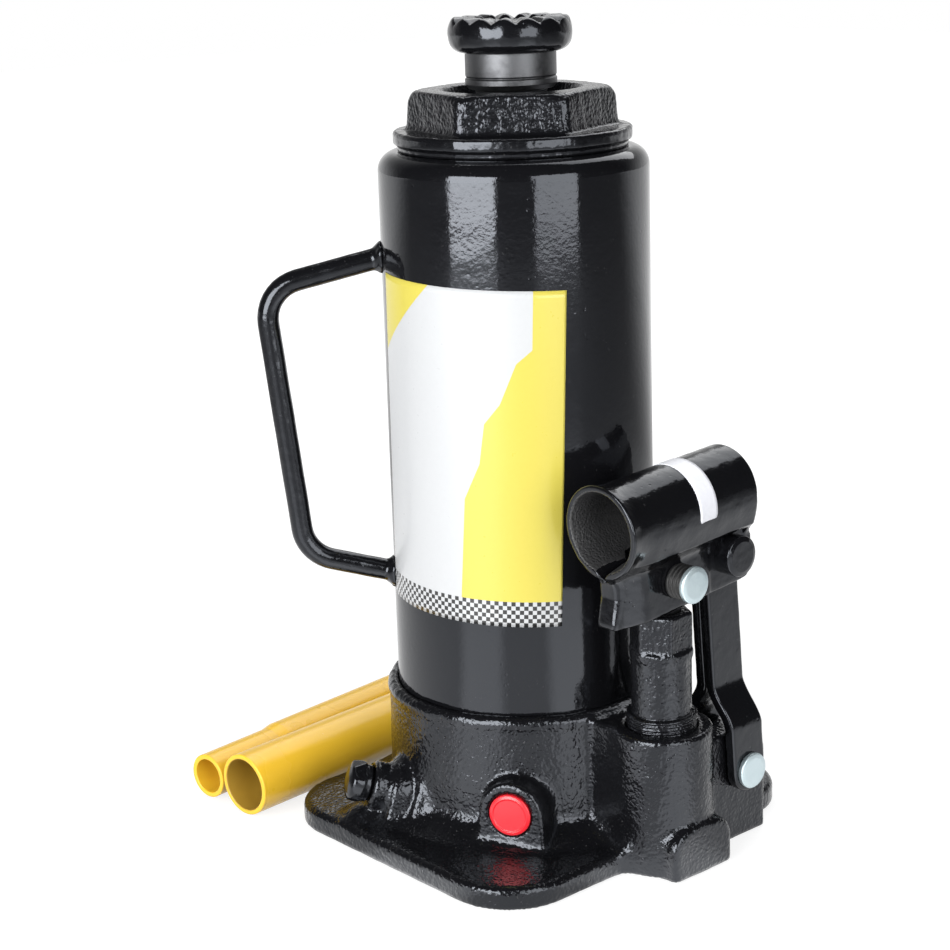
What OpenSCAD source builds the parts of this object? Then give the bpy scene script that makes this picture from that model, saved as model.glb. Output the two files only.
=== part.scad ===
// Hydraulic bottle jack with a screw-out saddle, a lever pump and a two-piece lever.
// Millimetres. Origin: middle of the ram's axis on the underside of the base. +Z up,
// +X towards the pump, +Y towards the back end of the lever socket.

/* [Base] */
// How far the base plate reaches past the turret at each end
plate_side = 18.4; // [16:0.2:30]
// How far the base plate reaches past the turret towards the pump
plate_front_rim = 13.9; // [12:0.1:22]
// How far the base plate reaches past the turret away from the pump
plate_back_rim = 6; // [4:0.5:20]
// Thickness of the plate at its edge
plate_t = 6.5; // [5:0.5:9]
// Corner radius of the plate
plate_r = 19; // [12:1:24]
// Height of the turret that carries the reservoir
turret_h = 40.1; // [38:1:50]
// Wall of the turret outside the reservoir tube
turret_wall = 2.8; // [2:0.2:5]

/* [Reservoir and cylinder] */
// Outer radius of the reservoir tube
tube_r = 37.5; // [34:0.5:46]
// Wall of the reservoir tube
tube_wall = 3; // [2:0.25:4]
// Height of the reservoir tube's top face
tube_top = 194.4; // [160:1:240]
// Radius of the tube's formed shoulder
shoulder_r = 8.5; // [5:0.5:10]
// Bore radius of the pressure cylinder
cyl_bore = 19; // [16:0.5:20]
// Wall of the pressure cylinder
cyl_wall = 5; // [3.5:0.5:5.5]

/* [Nut, ram and screw] */
// Width across flats of the top nut
nut_af = 51.3; // [48:0.5:56]
// Height of the nut's hexagon
nut_h = 10.7; // [8:0.5:14]
// Radius of the nut's flange
nut_flange_r = 32.9; // [31:0.5:35]
// Gap between the ram and the pressure cylinder's bore
ram_gap = 1; // [0.7:0.1:4]
// Stroke of the ram
ram_stroke = 150; // [80:1:155]
// Thread radius of the extension screw
screw_r = 11.2; // [9:0.2:12]
// Pitch of the extension screw
screw_pitch = 4; // [3:0.5:5]
// Travel of the extension screw
screw_travel = 80; // [40:1:90]
// Radius of the saddle
saddle_r = 17; // [15:0.5:22]
// Height of the saddle
saddle_h = 10.5; // [8:0.5:14]
// Teeth round the saddle
saddle_teeth = 15; // [9:1:18]

/* [Pump] */
// Gap between the reservoir tube and the pump cylinder's thread
pump_gap = 7.3; // [6:0.1:14]
// Radius of the pump plunger
plunger_r = 5.5; // [4:0.25:6]
// Travel of the pump plunger
plunger_stroke = 12.6; // [8:0.2:12.6]
// Outer radius of the pump cylinder
pump_r = 8.3; // [7.6:0.1:9]
// Radius of the cast pump boss
pump_boss_r = 14; // [13:0.5:15]
// Width across flats of the pump cylinder's hexagon
pump_af = 15.3; // [15.2:0.1:16.4]

/* [Lever socket and link] */
// Clearance of the wide lever half in the socket, on the radius
lever_fit = 0.5; // [0.2:0.1:1.1]
// Sheet thickness of the lever socket
socket_wall = 1.9; // [1.5:0.1:2.4]
// Height of the socket tube's underside above the axis of its hinge pin
socket_over_pin = 5; // [4.5:0.1:7]
// Side clearance between the link plates and the socket's ears
ear_play = 0.5; // [0.3:0.1:0.8]
// Thickness of each link plate
link_t = 3.3; // [2.6:0.1:3.4]
// Width of each link plate
link_w = 12.6; // [12:0.2:14]
// Shank radius of the three pins
pin_r = 3.4; // [3:0.1:3.8]

/* [Carry handle and levers] */
// Radius of the carry handle's rod
rod_r = 3.05; // [2.5:0.1:4]
// Direction of the carry handle round the tube, in degrees
handle_az = -127; // [-140:1:-126]
// Length of each lever half
lever_len = 196; // [120:5:260]
// Outer radius of the wide lever half
lever_r = 9.3; // [8.8:0.1:9.4]
// Wall of both lever halves
lever_wall = 1.5; // [1:0.1:1.8]
// Clearance of the slim lever half inside the wide one, on the radius
slim_fit = 0.4; // [0.2:0.1:1.2]

/* [Hidden] */
$fn = 72;
run = 0.06;            // running clearance of pins, plunger and ram, on the radius
slip = 0.1;            // loose clearance inside one assembly, on the radius
lift = 0.3;            // clearance kept between moving neighbours
deep = 400;            // longer than anything it cuts

// base
seat_z = turret_h - 7.1;           // reservoir tube seat in the turret
bore_floor = 11;       // floor of the main bore
gasket_t = 1;
ram_r = cyl_bore - ram_gap;
turret_r = tube_r + turret_wall;
plate_len = 2 * (turret_r + plate_side);
plate_front = turret_r + plate_front_rim;
plate_back = turret_r + plate_back_rim;
bead_h = 2.1;          // bevelled bead where tube and turret meet
dome_h = 2.5;          // rise of the plate towards the turret
cyl_r = cyl_bore + cyl_wall;
cyl_z = bore_floor + gasket_t;

// nut
flange_z = tube_top;
flange_h = 5.5;
hex_z = flange_z + flange_h;
nut_top = hex_z + nut_h;
skirt_r = cyl_r + 1.6;
skirt_h = 14;
guide_z = flange_z - 3.2;          // underside of the nut's ram guide
cyl_top = guide_z - 0.2;
wiper_z = nut_top - 8;
wiper_h = 3.4;
wiper_r = ram_r + 2.4;
nut_turn = -12.3;                  // one corner of the hexagon, in degrees

// ram and piston
ram_top = nut_top - 5.1;
piston_z = 27.5;                   // shoulder that the piston washer sits on
spigot_r = 9;
spigot_z = 14;
stop_h = 3;
stop_z = guide_z - ram_stroke - slip - stop_h;
chamber_r = screw_r + 2;           // wide hollow inside the ram below its thread
thread_h = 28;                     // threaded length at the ram's mouth
chamber_top = ram_top - thread_h;
collar_h = 3.4;
collar_z = chamber_top - screw_travel - slip - collar_h;
chamber_z = collar_z - 2;
screw_end_r = 6;

// screw and saddle
neck_z = ram_top - 1.5;
shank_z = nut_top + 0.4;
shank_r = screw_r + 1.4;
saddle_z = shank_z + 9.2;
saddle_top = saddle_z + saddle_h;
socket_in_saddle = 1.8;

// pump
pump_thread_r = pump_r + 1.5;
pump_x = tube_r + pump_gap + pump_thread_r;
pump_z = 24;
pump_thread_top = turret_h + 4.1;
pump_hex_z = 60;
pump_top = 73;
pump_washer_t = 1.2;
plunger_z = pump_z + 1;
ear_gap = 2 * (slip + link_t + ear_play);
eye_w = 12;
eye_t = ear_gap - 2 * lift;
front_pin_z = 82.6;
eye_slack = 0.85;                  // sideways room for the pin, opened pivot
eye_lift = 0.35;                   // room for the pin up and down

// link: hinge points as [y, z]
lug_pin = [25.7, 21.4];
rear_pin = [20.5, 85.6];
lug_half = 6;
lug_back = 36.2;
lug_top = 33;
splay = lug_half + lift - slip;    // outward step of each link plate
joggle_z = [34, 47];               // lower and upper end of the joggle

// lever socket, measured from the hinge pin
socket_tilt = 3.6;
socket_y = [-42.2, 6.8];
flare = 1.3;
flare_len = 5;
socket_bore = lever_r + lever_fit;
socket_r = socket_bore + socket_wall;
socket_rise = socket_r + socket_over_pin;
socket_lift = 36;                  // how far the socket swings up, in degrees
ear_t = 2.3;
ear_half = ear_gap / 2 + ear_t;
ear_low = -10.4;
nose_y = -41;
front_pin_y = (0 - rear_pin[0]) * cos(socket_tilt) + (front_pin_z - rear_pin[1]) * sin(socket_tilt);
front_pin_up = (0 + rear_pin[0]) * sin(socket_tilt) + (front_pin_z - rear_pin[1]) * cos(socket_tilt);
// the plunger is flat on both sides as far down as the ears come to it
flat_reach = sqrt(max(plunger_r * plunger_r - ear_gap * ear_gap / 4, 0));
flat_z = front_pin_z - (front_pin_up - ear_low) / cos(socket_lift) - flat_reach * tan(socket_lift) - lift;

// pins along X, measured from the pump plane
zinc_head_r = 5.1;
zinc_head_t = 1.6;
black_head_r = 5.7;
black_head_t = 5.2;
bush_t = 5.3;
bush_r = 4.9;
clip_t = 1;

// valves: boss face centre, direction round Z, upward tilt
relief_spot = -49.33;
relief_at = [(turret_r + 6.5) * cos(relief_spot), (turret_r + 6.5) * sin(relief_spot), 16.3];
relief_az = -62;
relief_boss_r = 9.25;
relief_cap_r = 6;
relief_bore = 4.6;
release_spot = -105.04;
release_at = [(turret_r + 4.02) * cos(release_spot), (turret_r + 4.02) * sin(release_spot), 14];
release_az = -122;
release_tilt = 18;
release_boss_r = 8.5;
release_r = 4.5;
ball_r = 2.5;

// carry handle: centreline as [distance from axis, height]
handle_path = [[tube_r - 1, tube_top - 28.7], [tube_r + 33.1, tube_top - 36.6],
               [tube_r + 25.1, tube_top - 113.6], [tube_r - 1, tube_top - 120.4]];
handle_bend = 11;

// label and filler plug
label_t = 0.25;
label_az = [-119.5, -21.9];
label_z = [tube_top - 126.9, tube_top - 31.9];
plug_az = 138;
plug_z = tube_top - 34;
plug_r = 4.6;

// levers: mouth centre on the floor and direction
slim_r = lever_r - lever_wall - slim_fit;
lever_at = [-plate_back - lever_r + 1.9, -plate_len / 2 - 6.9];
lever_az = 5.5;
slim_at = [lever_at[0] - 2 * sqrt(lever_r * slim_r) - 0.45, lever_at[1] - 1.3];
slim_az = 7.5;
swage_r = slim_r - 0.7;
swage_len = 26;

// ---------- helpers ----------

// ring between two radii standing on z
module ring(r_in, r_out, z, h) {
    translate([0, 0, z]) difference() {
        cylinder(r = r_out, h = h);
        translate([0, 0, -1]) cylinder(r = r_in, h = h + 2);
    }
}

// outline drawn in YZ, extruded from x0 to x1
module along_x(x0, x1) {
    translate([x0, 0, 0]) rotate([90, 0, 90]) linear_extrude(x1 - x0) children();
}

// outline drawn in XZ, extruded from y0 to y1
module along_y(y0, y1) {
    translate([0, y1, 0]) rotate([90, 0, 0]) linear_extrude(y1 - y0) children();
}

// round bar along X at [y, z]
module bar_x(at, r, x0, x1) {
    translate([x0, at[0], at[1]]) rotate([0, 90, 0]) cylinder(r = r, h = x1 - x0);
}

// children stand on the valve's face, +Z pointing out of the base
module valve_frame(at, az, tilt) {
    translate(at) rotate([0, 0, az]) rotate([0, 90 - tilt, 0]) children();
}

// children are drawn in the lever socket's own frame at its hinge pin
module socket_frame() {
    translate([pump_x, rear_pin[0], rear_pin[1]]) rotate([socket_tilt, 0, 0]) children();
}

// rectangle with round corners, built from plain shapes
module round_rect(x0, x1, y0, y1, r) {
    translate([x0 + r, y0]) square([x1 - x0 - 2 * r, y1 - y0]);
    translate([x0, y0 + r]) square([x1 - x0, y1 - y0 - 2 * r]);
    for (x = [x0 + r, x1 - r], y = [y0 + r, y1 - r]) translate([x, y]) circle(r);
}

// ---------- base ----------

module plate_outline(grow = 0) {
    round_rect(-plate_back - grow, plate_front + grow, -plate_len / 2 - grow, plate_len / 2 + grow, plate_r);
}

// arched boss, face at z = 0, running back into the casting
module arch_boss(r, back, foot) {
    translate([0, 0, -back]) linear_extrude(back) {
        circle(r);
        polygon([[0, r * 0.999], [0, -r * 0.999], [foot, -r * 1.08], [foot, r * 1.08]]);
    }
}

module base_blank() {
    linear_extrude(plate_t) plate_outline();
    intersection() {
        linear_extrude(plate_t + dome_h) plate_outline();
        translate([0, 0, plate_t]) cylinder(r1 = turret_r + 14, r2 = turret_r + 2, h = dome_h);
    }
    cylinder(r = turret_r, h = turret_h);
    translate([0, 0, turret_h]) cylinder(r1 = turret_r, r2 = tube_r + 0.6, h = bead_h);
    // bridge between turret and pump boss
    translate([20, -pump_boss_r + 1.7, 0]) cube([pump_x - 20, 2 * pump_boss_r - 3.4, turret_h]);
    translate([pump_x, 0, 0]) cylinder(r = pump_boss_r, h = turret_h);
    // toe under the pump boss
    intersection() {
        translate([pump_x, -10.4, 0]) cube([pump_boss_r + 0.8, 22.8, 14]);
        along_x(pump_x, pump_x + pump_boss_r + 1) translate([1, 2]) circle(12.4);
    }
    // lug that carries the link
    along_x(pump_x - lug_half, pump_x + lug_half) difference() {
        union() {
            translate([4, 0]) square([lug_back - 4, lug_top - 10]);
            translate([4, lug_top - 12]) square([lug_back - 14, 12]);
            translate([lug_back - 10, lug_top - 10]) circle(10);
        }
        translate([lug_pin[0], lug_pin[1]]) circle(pin_r + run);
    }
    intersection() {
        valve_frame(relief_at, relief_az, 0) arch_boss(relief_boss_r, 24, 16);
        cylinder(r = 90, h = turret_h);
    }
    intersection() {
        valve_frame(release_at, release_az, release_tilt) arch_boss(release_boss_r, 20, 16);
        cylinder(r = 90, h = turret_h);
    }
}

module base_casting() {
    color([0.05, 0.05, 0.055]) difference() {
        base_blank();
        translate([0, 0, bore_floor]) cylinder(r = cyl_r + slip, h = deep);
        translate([0, 0, seat_z]) cylinder(r = tube_r + slip, h = deep);
        // pump bore and its passages
        translate([pump_x, 0, pump_z - pump_washer_t]) cylinder(r = pump_thread_r + slip, h = deep);
        translate([pump_x, 0, 12]) cylinder(r = ball_r + 0.5, h = 20);
        translate([20, 0, 15]) rotate([0, 90, 0]) cylinder(r = ball_r + 0.5, h = pump_x - 20);
        // relief valve bore and its cap seat
        valve_frame(relief_at, relief_az, 0) {
            translate([0, 0, -1.6]) cylinder(r = relief_cap_r + slip, h = 10);
            translate([0, 0, -14]) cylinder(r = relief_bore, h = 20);
            translate([0, 0, -26]) cylinder(r = 1.3, h = 20);
        }
        // release valve bore
        valve_frame(release_at, release_az, release_tilt) {
            translate([0, 0, -13]) cylinder(r = release_r + run, h = 30);
            translate([0, 0, -17.2]) cylinder(r = ball_r + slip, h = 10);
        }
    }
}

// ---------- reservoir ----------

module shoulder_outline(r, h, fillet) {
    square([r, h - fillet]);
    square([r - fillet, h]);
    translate([r - fillet, h - fillet]) circle(fillet);
}

module reservoir_tube() {
    z0 = seat_z + gasket_t;
    color([0.04, 0.04, 0.045]) difference() {
        translate([0, 0, z0]) rotate_extrude() difference() {
            shoulder_outline(tube_r, tube_top - z0, shoulder_r);
            translate([0, -1]) shoulder_outline(tube_r - tube_wall, tube_top - z0 - tube_wall + 1,
                                                shoulder_r - tube_wall);
            translate([0, tube_top - z0 - 2 * tube_wall]) square([skirt_r + 1.2, 3 * tube_wall]);
        }
        rotate([0, 0, plug_az]) translate([tube_r - 8, 0, plug_z]) rotate([0, 90, 0])
            cylinder(r = plug_r, h = 20);
    }
}

module tube_seal() {
    color([0.1, 0.1, 0.1]) ring(tube_r - tube_wall, tube_r, seat_z, gasket_t);
}

// centreline of a path with its inner corners rounded, in steps along each arc
function corner(a, b, c, r, n) =
    let (u = (a - b) / norm(a - b), v = (c - b) / norm(c - b), half = acos(u * v) / 2,
         mid = (u + v) / norm(u + v), centre = b + mid * r / sin(half), cut = r / tan(half),
         from = b + u * cut - centre, side = b + v * cut - centre, span = acos(from * side / (r * r)))
    [for (i = [0:n]) centre + (sin(span * (1 - i / n)) * from + sin(span * i / n) * side) / sin(span)];

// round bar swept along points; side holds one vector per point, square to the path
module swept_bar(points, side, r, n) {
    last = len(points) - 1;
    rings = [for (i = [0:last]) let (t = points[min(i + 1, last)] - points[max(i - 1, 0)],
             w = cross(t / norm(t), side[i]))
             each [for (k = [0:n - 1]) points[i] + r * (cos(k * 360 / n) * side[i] + sin(k * 360 / n) * w)]];
    polyhedron(rings, concat(
        [[for (k = [0:n - 1]) k]],
        [for (i = [0:last - 1], k = [0:n - 1])
            [i * n + k, (i + 1) * n + k, (i + 1) * n + (k + 1) % n, i * n + (k + 1) % n]],
        [[for (k = [n - 1:-1:0]) last * n + k]]));
}

module carry_handle() {
    p = handle_path;
    line = concat([p[0]], corner(p[0], p[1], p[2], handle_bend, 6), corner(p[1], p[2], p[3], handle_bend, 6), [p[3]]);
    color([0.05, 0.05, 0.055]) difference() {
        rotate([0, 0, handle_az]) {
            swept_bar([for (q = line) [q[0], 0, q[1]]], [for (q = line) [0, 1, 0]], rod_r, 16);
            // weld beads
            for (q = [p[0], p[3]]) translate([tube_r - 2, 0, q[1]]) rotate([0, 90, 0])
                cylinder(r1 = rod_r + 2.2, r2 = rod_r + 0.3, h = 4.6);
        }
        cylinder(r = tube_r, h = deep);
    }
}

module label() {
    color([0.95, 0.92, 0.8]) rotate([0, 0, label_az[0]]) rotate_extrude(angle = label_az[1] - label_az[0])
        translate([tube_r, label_z[0]]) square([label_t, label_z[1] - label_z[0]]);
}

module filler_plug() {
    color([0.08, 0.08, 0.08]) rotate([0, 0, plug_az]) difference() {
        union() {
            translate([tube_r - tube_wall - 1, 0, plug_z]) rotate([0, 90, 0])
                cylinder(r = plug_r - slip, h = tube_wall + 1.8);
            translate([tube_r + 0.8, 0, plug_z]) rotate([0, 90, 0]) cylinder(r1 = 7.5, r2 = 6, h = 2.2);
            translate([tube_r - 1, 0, plug_z]) rotate([0, 90, 0]) cylinder(r = 7.5, h = 1.8);
        }
        intersection() {
            cylinder(r = tube_r, h = deep);
            translate([tube_r - 1.5, -9, plug_z - 9]) difference() {
                cube([2, 18, 18]);
                translate([-1, 9, 9]) rotate([0, 90, 0]) cylinder(r = plug_r - slip, h = 10);
            }
        }
    }
}

// ---------- pressure cylinder and nut ----------

module pressure_cylinder() {
    color([0.5, 0.5, 0.52]) ring(cyl_bore, cyl_r, cyl_z, cyl_top - cyl_z);
}

module cylinder_gasket() {
    color([0.7, 0.4, 0.25]) ring(cyl_bore, cyl_r, bore_floor, gasket_t);
}

module top_nut() {
    hex_r = nut_af / 2 / cos(30);
    color([0.05, 0.05, 0.055]) difference() {
        union() {
            translate([0, 0, flange_z - skirt_h]) cylinder(r = skirt_r, h = skirt_h);
            translate([0, 0, flange_z]) cylinder(r = nut_flange_r - 1.1, h = 1.8);
            translate([0, 0, flange_z + 1.8]) cylinder(r = nut_flange_r, h = flange_h - 1.8);
            intersection() {
                translate([0, 0, hex_z]) rotate([0, 0, nut_turn]) cylinder(r = hex_r, h = nut_h, $fn = 6);
                translate([0, 0, hex_z - 6]) cylinder(r1 = hex_r + 12, r2 = nut_af / 2 + 0.6, h = nut_h + 6);
            }
        }
        translate([0, 0, flange_z - skirt_h - 1]) cylinder(r = cyl_r + slip, h = skirt_h + 1 - (flange_z - guide_z));
        cylinder(r = ram_r + run, h = deep);
        translate([0, 0, wiper_z]) cylinder(r = wiper_r + slip, h = wiper_h);
        translate([0, 0, nut_top - 3.2]) cylinder(r1 = ram_r + 0.4, r2 = ram_r + 1, h = 4);
    }
}

module nut_seal() {
    color([0.1, 0.1, 0.1]) ring(skirt_r, skirt_r + 1.1, flange_z - 2.6, 2.2);
}

module ram_wiper() {
    color([0.1, 0.1, 0.1]) ring(ram_r + run, wiper_r, wiper_z + slip, wiper_h - 2 * slip);
}

// ---------- ram and extension screw ----------

module ram() {
    color([0.72, 0.72, 0.74]) difference() {
        union() {
            translate([0, 0, piston_z]) cylinder(r = ram_r, h = ram_top - piston_z);
            translate([0, 0, spigot_z]) cylinder(r = spigot_r, h = piston_z - spigot_z + 1);
        }
        ring(ram_r - 1.5, ram_r + 2, stop_z, stop_h);
        translate([0, 0, chamber_z]) cylinder(r = chamber_r, h = chamber_top - chamber_z);
        translate([0, 0, chamber_top - 1]) cylinder(r = screw_r + run, h = deep);
    }
}

module ram_stop_ring() {
    color([0.3, 0.3, 0.32]) ring(ram_r - 1.47, cyl_bore - run, stop_z, stop_h);
}

module piston_washer() {
    color([0.6, 0.6, 0.62]) ring(spigot_r + run, cyl_bore - 0.5, piston_z - 2.5, 2.5);
}

module piston_cup() {
    color([0.75, 0.6, 0.2]) ring(spigot_r + run, cyl_bore - run, spigot_z + 4, piston_z - 2.5 - spigot_z - 4);
}

module piston_nut() {
    color([0.6, 0.6, 0.62]) translate([0, 0, spigot_z]) difference() {
        cylinder(r = spigot_r + 6, h = 4, $fn = 6);
        translate([0, 0, -1]) cylinder(r = spigot_r + run, h = 6);
    }
}

// runs in the ram's hollow and stops the screw from leaving it
module screw_collar() {
    color([0.45, 0.45, 0.47]) ring(screw_end_r + run, chamber_r - slip, collar_z, collar_h);
}

module extension_screw() {
    turns = floor((neck_z - collar_z - collar_h - slip) / screw_pitch);
    groove = screw_pitch * 0.3;
    color([0.62, 0.62, 0.63]) difference() {
        union() {
            translate([0, 0, collar_z - slip - 1.4]) cylinder(r = screw_end_r + 2, h = 1.4);
            translate([0, 0, collar_z - slip - 1]) cylinder(r = screw_end_r, h = collar_h + 2);
            translate([0, 0, collar_z + collar_h + slip])
                cylinder(r = screw_r, h = neck_z - collar_z - collar_h - slip);
            translate([0, 0, neck_z - 1]) cylinder(r = screw_r - 1.4, h = shank_z - neck_z + 2);
            translate([0, 0, shank_z]) cylinder(r = shank_r, h = saddle_z + socket_in_saddle - shank_z);
        }
        // thread grooves
        for (i = [1:turns - 1]) translate([0, 0, collar_z + collar_h + slip + i * screw_pitch])
            rotate_extrude() polygon([[screw_r + 1, -groove], [screw_r + 1, groove],
                                      [screw_r - 1.3, groove * 0.2], [screw_r - 1.3, -groove * 0.2]]);
    }
}

module saddle() {
    color([0.06, 0.06, 0.065]) difference() {
        union() {
            translate([0, 0, saddle_z]) cylinder(r1 = saddle_r - 1.2, r2 = saddle_r - 0.2, h = 2);
            translate([0, 0, saddle_z + 2]) cylinder(r1 = saddle_r - 0.8, r2 = saddle_r, h = 4);
            translate([0, 0, saddle_z + 6]) cylinder(r1 = saddle_r, r2 = saddle_r - 1, h = saddle_h - 6);
        }
        translate([0, 0, saddle_z - 1]) cylinder(r = shank_r + slip, h = socket_in_saddle + 1);
        translate([0, 0, saddle_top - 2.4]) cylinder(r = saddle_r * 0.55, h = 4);
        for (i = [0:saddle_teeth - 1]) rotate([0, 0, (i + 0.5) * 360 / saddle_teeth])
            translate([saddle_r * 0.4, 0, saddle_top + 0.3]) rotate([0, 90, 0])
                cylinder(r = saddle_r * 0.13, h = saddle_r);
    }
}

// ---------- pump ----------

module pump_cylinder() {
    hex_r = pump_af / 2 / cos(30);
    color([0.05, 0.05, 0.055]) translate([pump_x, 0, 0]) difference() {
        union() {
            translate([0, 0, pump_z]) cylinder(r = pump_thread_r, h = pump_thread_top - pump_z);
            translate([0, 0, pump_z]) cylinder(r = pump_r, h = pump_hex_z + 1 - pump_z);
            intersection() {
                translate([0, 0, pump_hex_z]) rotate([0, 0, -28]) cylinder(r = hex_r, h = pump_top - pump_hex_z, $fn = 6);
                translate([0, 0, pump_hex_z]) cylinder(r1 = pump_r - 0.6, r2 = pump_r + 20, h = 16);
            }
        }
        translate([0, 0, plunger_z]) cylinder(r = plunger_r + run, h = deep);
        cylinder(r = ball_r + 0.5, h = deep);
        for (i = [0:3]) translate([0, 0, turret_h + 0.4 + i])
            rotate_extrude() polygon([[pump_thread_r + 1, -0.4], [pump_thread_r + 1, 0.4], [pump_thread_r - 0.6, 0]]);
    }
}

module pump_washer() {
    color([0.72, 0.42, 0.26]) translate([pump_x, 0, 0])
        ring(ball_r + 0.5, pump_thread_r, pump_z - pump_washer_t, pump_washer_t);
}

module plunger() {
    color([0.6, 0.6, 0.62]) difference() {
        union() {
            translate([pump_x, 0, plunger_z]) cylinder(r = plunger_r, h = flat_z - plunger_z);
            translate([pump_x, 0, plunger_z]) intersection() {
                cylinder(r = plunger_r, h = front_pin_z - 7 - plunger_z);
                translate([-eye_t / 2, -20, 0]) cube([eye_t, 40, 100]);
            }
            translate([pump_x, 0, front_pin_z - 7.5]) intersection() {
                cylinder(r = plunger_r + 0.6, h = 7.5);
                translate([-eye_t / 2, -eye_w / 2, 0]) cube([eye_t, eye_w, 7.5]);
            }
            intersection() {
                bar_x([0, front_pin_z], eye_w / 2 + 0.4, pump_x - eye_t / 2, pump_x + eye_t / 2);
                translate([pump_x - 10, -10, front_pin_z - 7]) cube([20, 20, 14]);
            }
        }
        translate([pump_x, 0, 0]) ring(plunger_r - 1.4, plunger_r + 2, plunger_z + 3, 2.4);
        for (y = [-eye_slack, eye_slack])
            bar_x([y, front_pin_z], pin_r + eye_lift, pump_x - 10, pump_x + 10);
        translate([pump_x - 10, -eye_slack, front_pin_z - pin_r - eye_lift])
            cube([20, 2 * eye_slack, 2 * (pin_r + eye_lift)]);
    }
}

module plunger_seal() {
    color([0.1, 0.1, 0.1]) translate([pump_x, 0, 0])
        ring(plunger_r - 1.37, plunger_r + run / 2, plunger_z + 3.1, 2.2);
}

module suction_ball() {
    color([0.8, 0.8, 0.82]) translate([pump_x - 16, 0, 15]) sphere(ball_r);
}

module discharge_ball() {
    color([0.8, 0.8, 0.82]) translate([pump_x, 0, 17.5]) sphere(ball_r);
}

// ---------- link ----------

link_tilt = atan2(rear_pin[0] - lug_pin[0], rear_pin[1] - lug_pin[1]);
link_len = norm(rear_pin - lug_pin);

module link_side() {
    difference() {
        union() {
            translate(lug_pin) rotate([0, 0, -link_tilt]) translate([-link_w / 2 + 0.04, 0])
                square([link_w - 0.08, link_len]);
            translate(rear_pin) circle(link_w / 2);
            translate(lug_pin) circle(link_w / 2);
        }
        translate(rear_pin) circle(pin_r + run);
        translate(lug_pin) circle(pin_r + slip);
    }
}

// plate bent outwards so that its foot passes beside the lug
module link_plate() {
    x0 = slip;
    x1 = x0 + splay;
    translate([pump_x, 0, 0]) intersection() {
        along_x(-1, 30) link_side();
        along_y(0, 60) polygon([[x0, 100], [x0, joggle_z[1]], [x1, joggle_z[0]], [x1, 0],
                                [x1 + link_t, 0], [x1 + link_t, joggle_z[0]], [x0 + link_t, joggle_z[1]],
                                [x0 + link_t, 100]]);
    }
}

module link_plate_right() {
    color([0.05, 0.05, 0.055]) link_plate();
}

module link_plate_left() {
    color([0.05, 0.05, 0.055]) translate([2 * pump_x, 0, 0]) mirror([1, 0, 0]) link_plate();
}

lug_pin_out = slip + splay + link_t;

module lug_pin_zinc() {
    color([0.75, 0.82, 0.85]) {
        bar_x(lug_pin, pin_r, pump_x - lug_pin_out - 2.6, pump_x + lug_pin_out + 0.5);
        bar_x(lug_pin, zinc_head_r, pump_x + lug_pin_out, pump_x + lug_pin_out + zinc_head_t);
    }
}

module clip_ring(at, x) {
    difference() {
        bar_x(at, pin_r + 2, x, x + clip_t);
        bar_x(at, pin_r + 0.02, x - 1, x + clip_t + 1);
    }
}

module lug_pin_clip() {
    color([0.4, 0.4, 0.42]) clip_ring(lug_pin, pump_x - lug_pin_out - clip_t - slip);
}

// ---------- lever socket ----------

// cross-section: round tube, with the sheet closing in to the two ears
module socket_section(r, half, low) {
    circle(r);
    polygon([[-r * cos(28), -r * sin(28)], [r * cos(28), -r * sin(28)], [half, -r * 1.12], [half, low],
             [-half, low], [-half, -r * 1.12]]);
}

module lever_socket() {
    color([0.04, 0.04, 0.045]) socket_frame() difference() {
        union() {
            // tube with a flared mouth
            translate([0, socket_y[0], socket_rise]) rotate([-90, 0, 0]) {
                cylinder(r = socket_r, h = socket_y[1] - socket_y[0]);
                cylinder(r1 = socket_r + flare, r2 = socket_r, h = flare_len);
            }
            // webs and ears below it, drawn in at the nose
            intersection() {
                translate([0, 0, socket_rise]) along_y(nose_y, 9.5)
                    socket_section(socket_r, ear_half, -socket_rise - 14);
                along_x(-20, 20) polygon([[nose_y, -9.4], [nose_y, socket_rise], [socket_y[1], socket_rise],
                                          [socket_y[1], 9], [9.5, 5], [9.5, -5.8], [5.2, ear_low],
                                          [-25, ear_low], [-30, ear_low - 0.8], [nose_y + 1.2, ear_low - 0.2]]);
                translate([0, 0, -30]) linear_extrude(60)
                    polygon([[-3.7, nose_y], [3.7, nose_y], [ear_half, nose_y + 10], [20, nose_y + 10.1],
                             [20, 20], [-20, 20], [-20, nose_y + 10.1], [-ear_half, nose_y + 10]]);
            }
        }
        // lever bore
        translate([0, socket_y[0] - 1, socket_rise]) rotate([-90, 0, 0]) cylinder(r = socket_bore, h = deep);
        translate([0, socket_y[0] - 0.01, socket_rise]) rotate([-90, 0, 0])
            cylinder(r1 = socket_bore + flare, r2 = socket_bore, h = flare_len);
        // gap between the ears
        translate([-ear_gap / 2, nose_y + 4, -30]) cube([ear_gap, 80, 30 + socket_rise - socket_bore + 0.6]);
        // pin holes
        bar_x([front_pin_y, front_pin_up], pin_r + run, -20, 20);
        bar_x([0, 0], pin_r + run, -20, 20);
        // flats for the pin heads and clips
        for (at = [[front_pin_y, front_pin_up], [0, 0]]) {
            bar_x(at, black_head_r + slip, ear_half, 20);
            bar_x(at, pin_r + 2 + slip, -20, -ear_half);
        }
    }
}

module socket_sticker() {
    color([0.9, 0.9, 0.92]) socket_frame() translate([0, socket_y[0] + 26, socket_rise]) rotate([90, 0, 0])
        rotate([0, 0, -4]) rotate_extrude(angle = 150) translate([socket_r, 0]) square([0.2, 7]);
}

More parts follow.
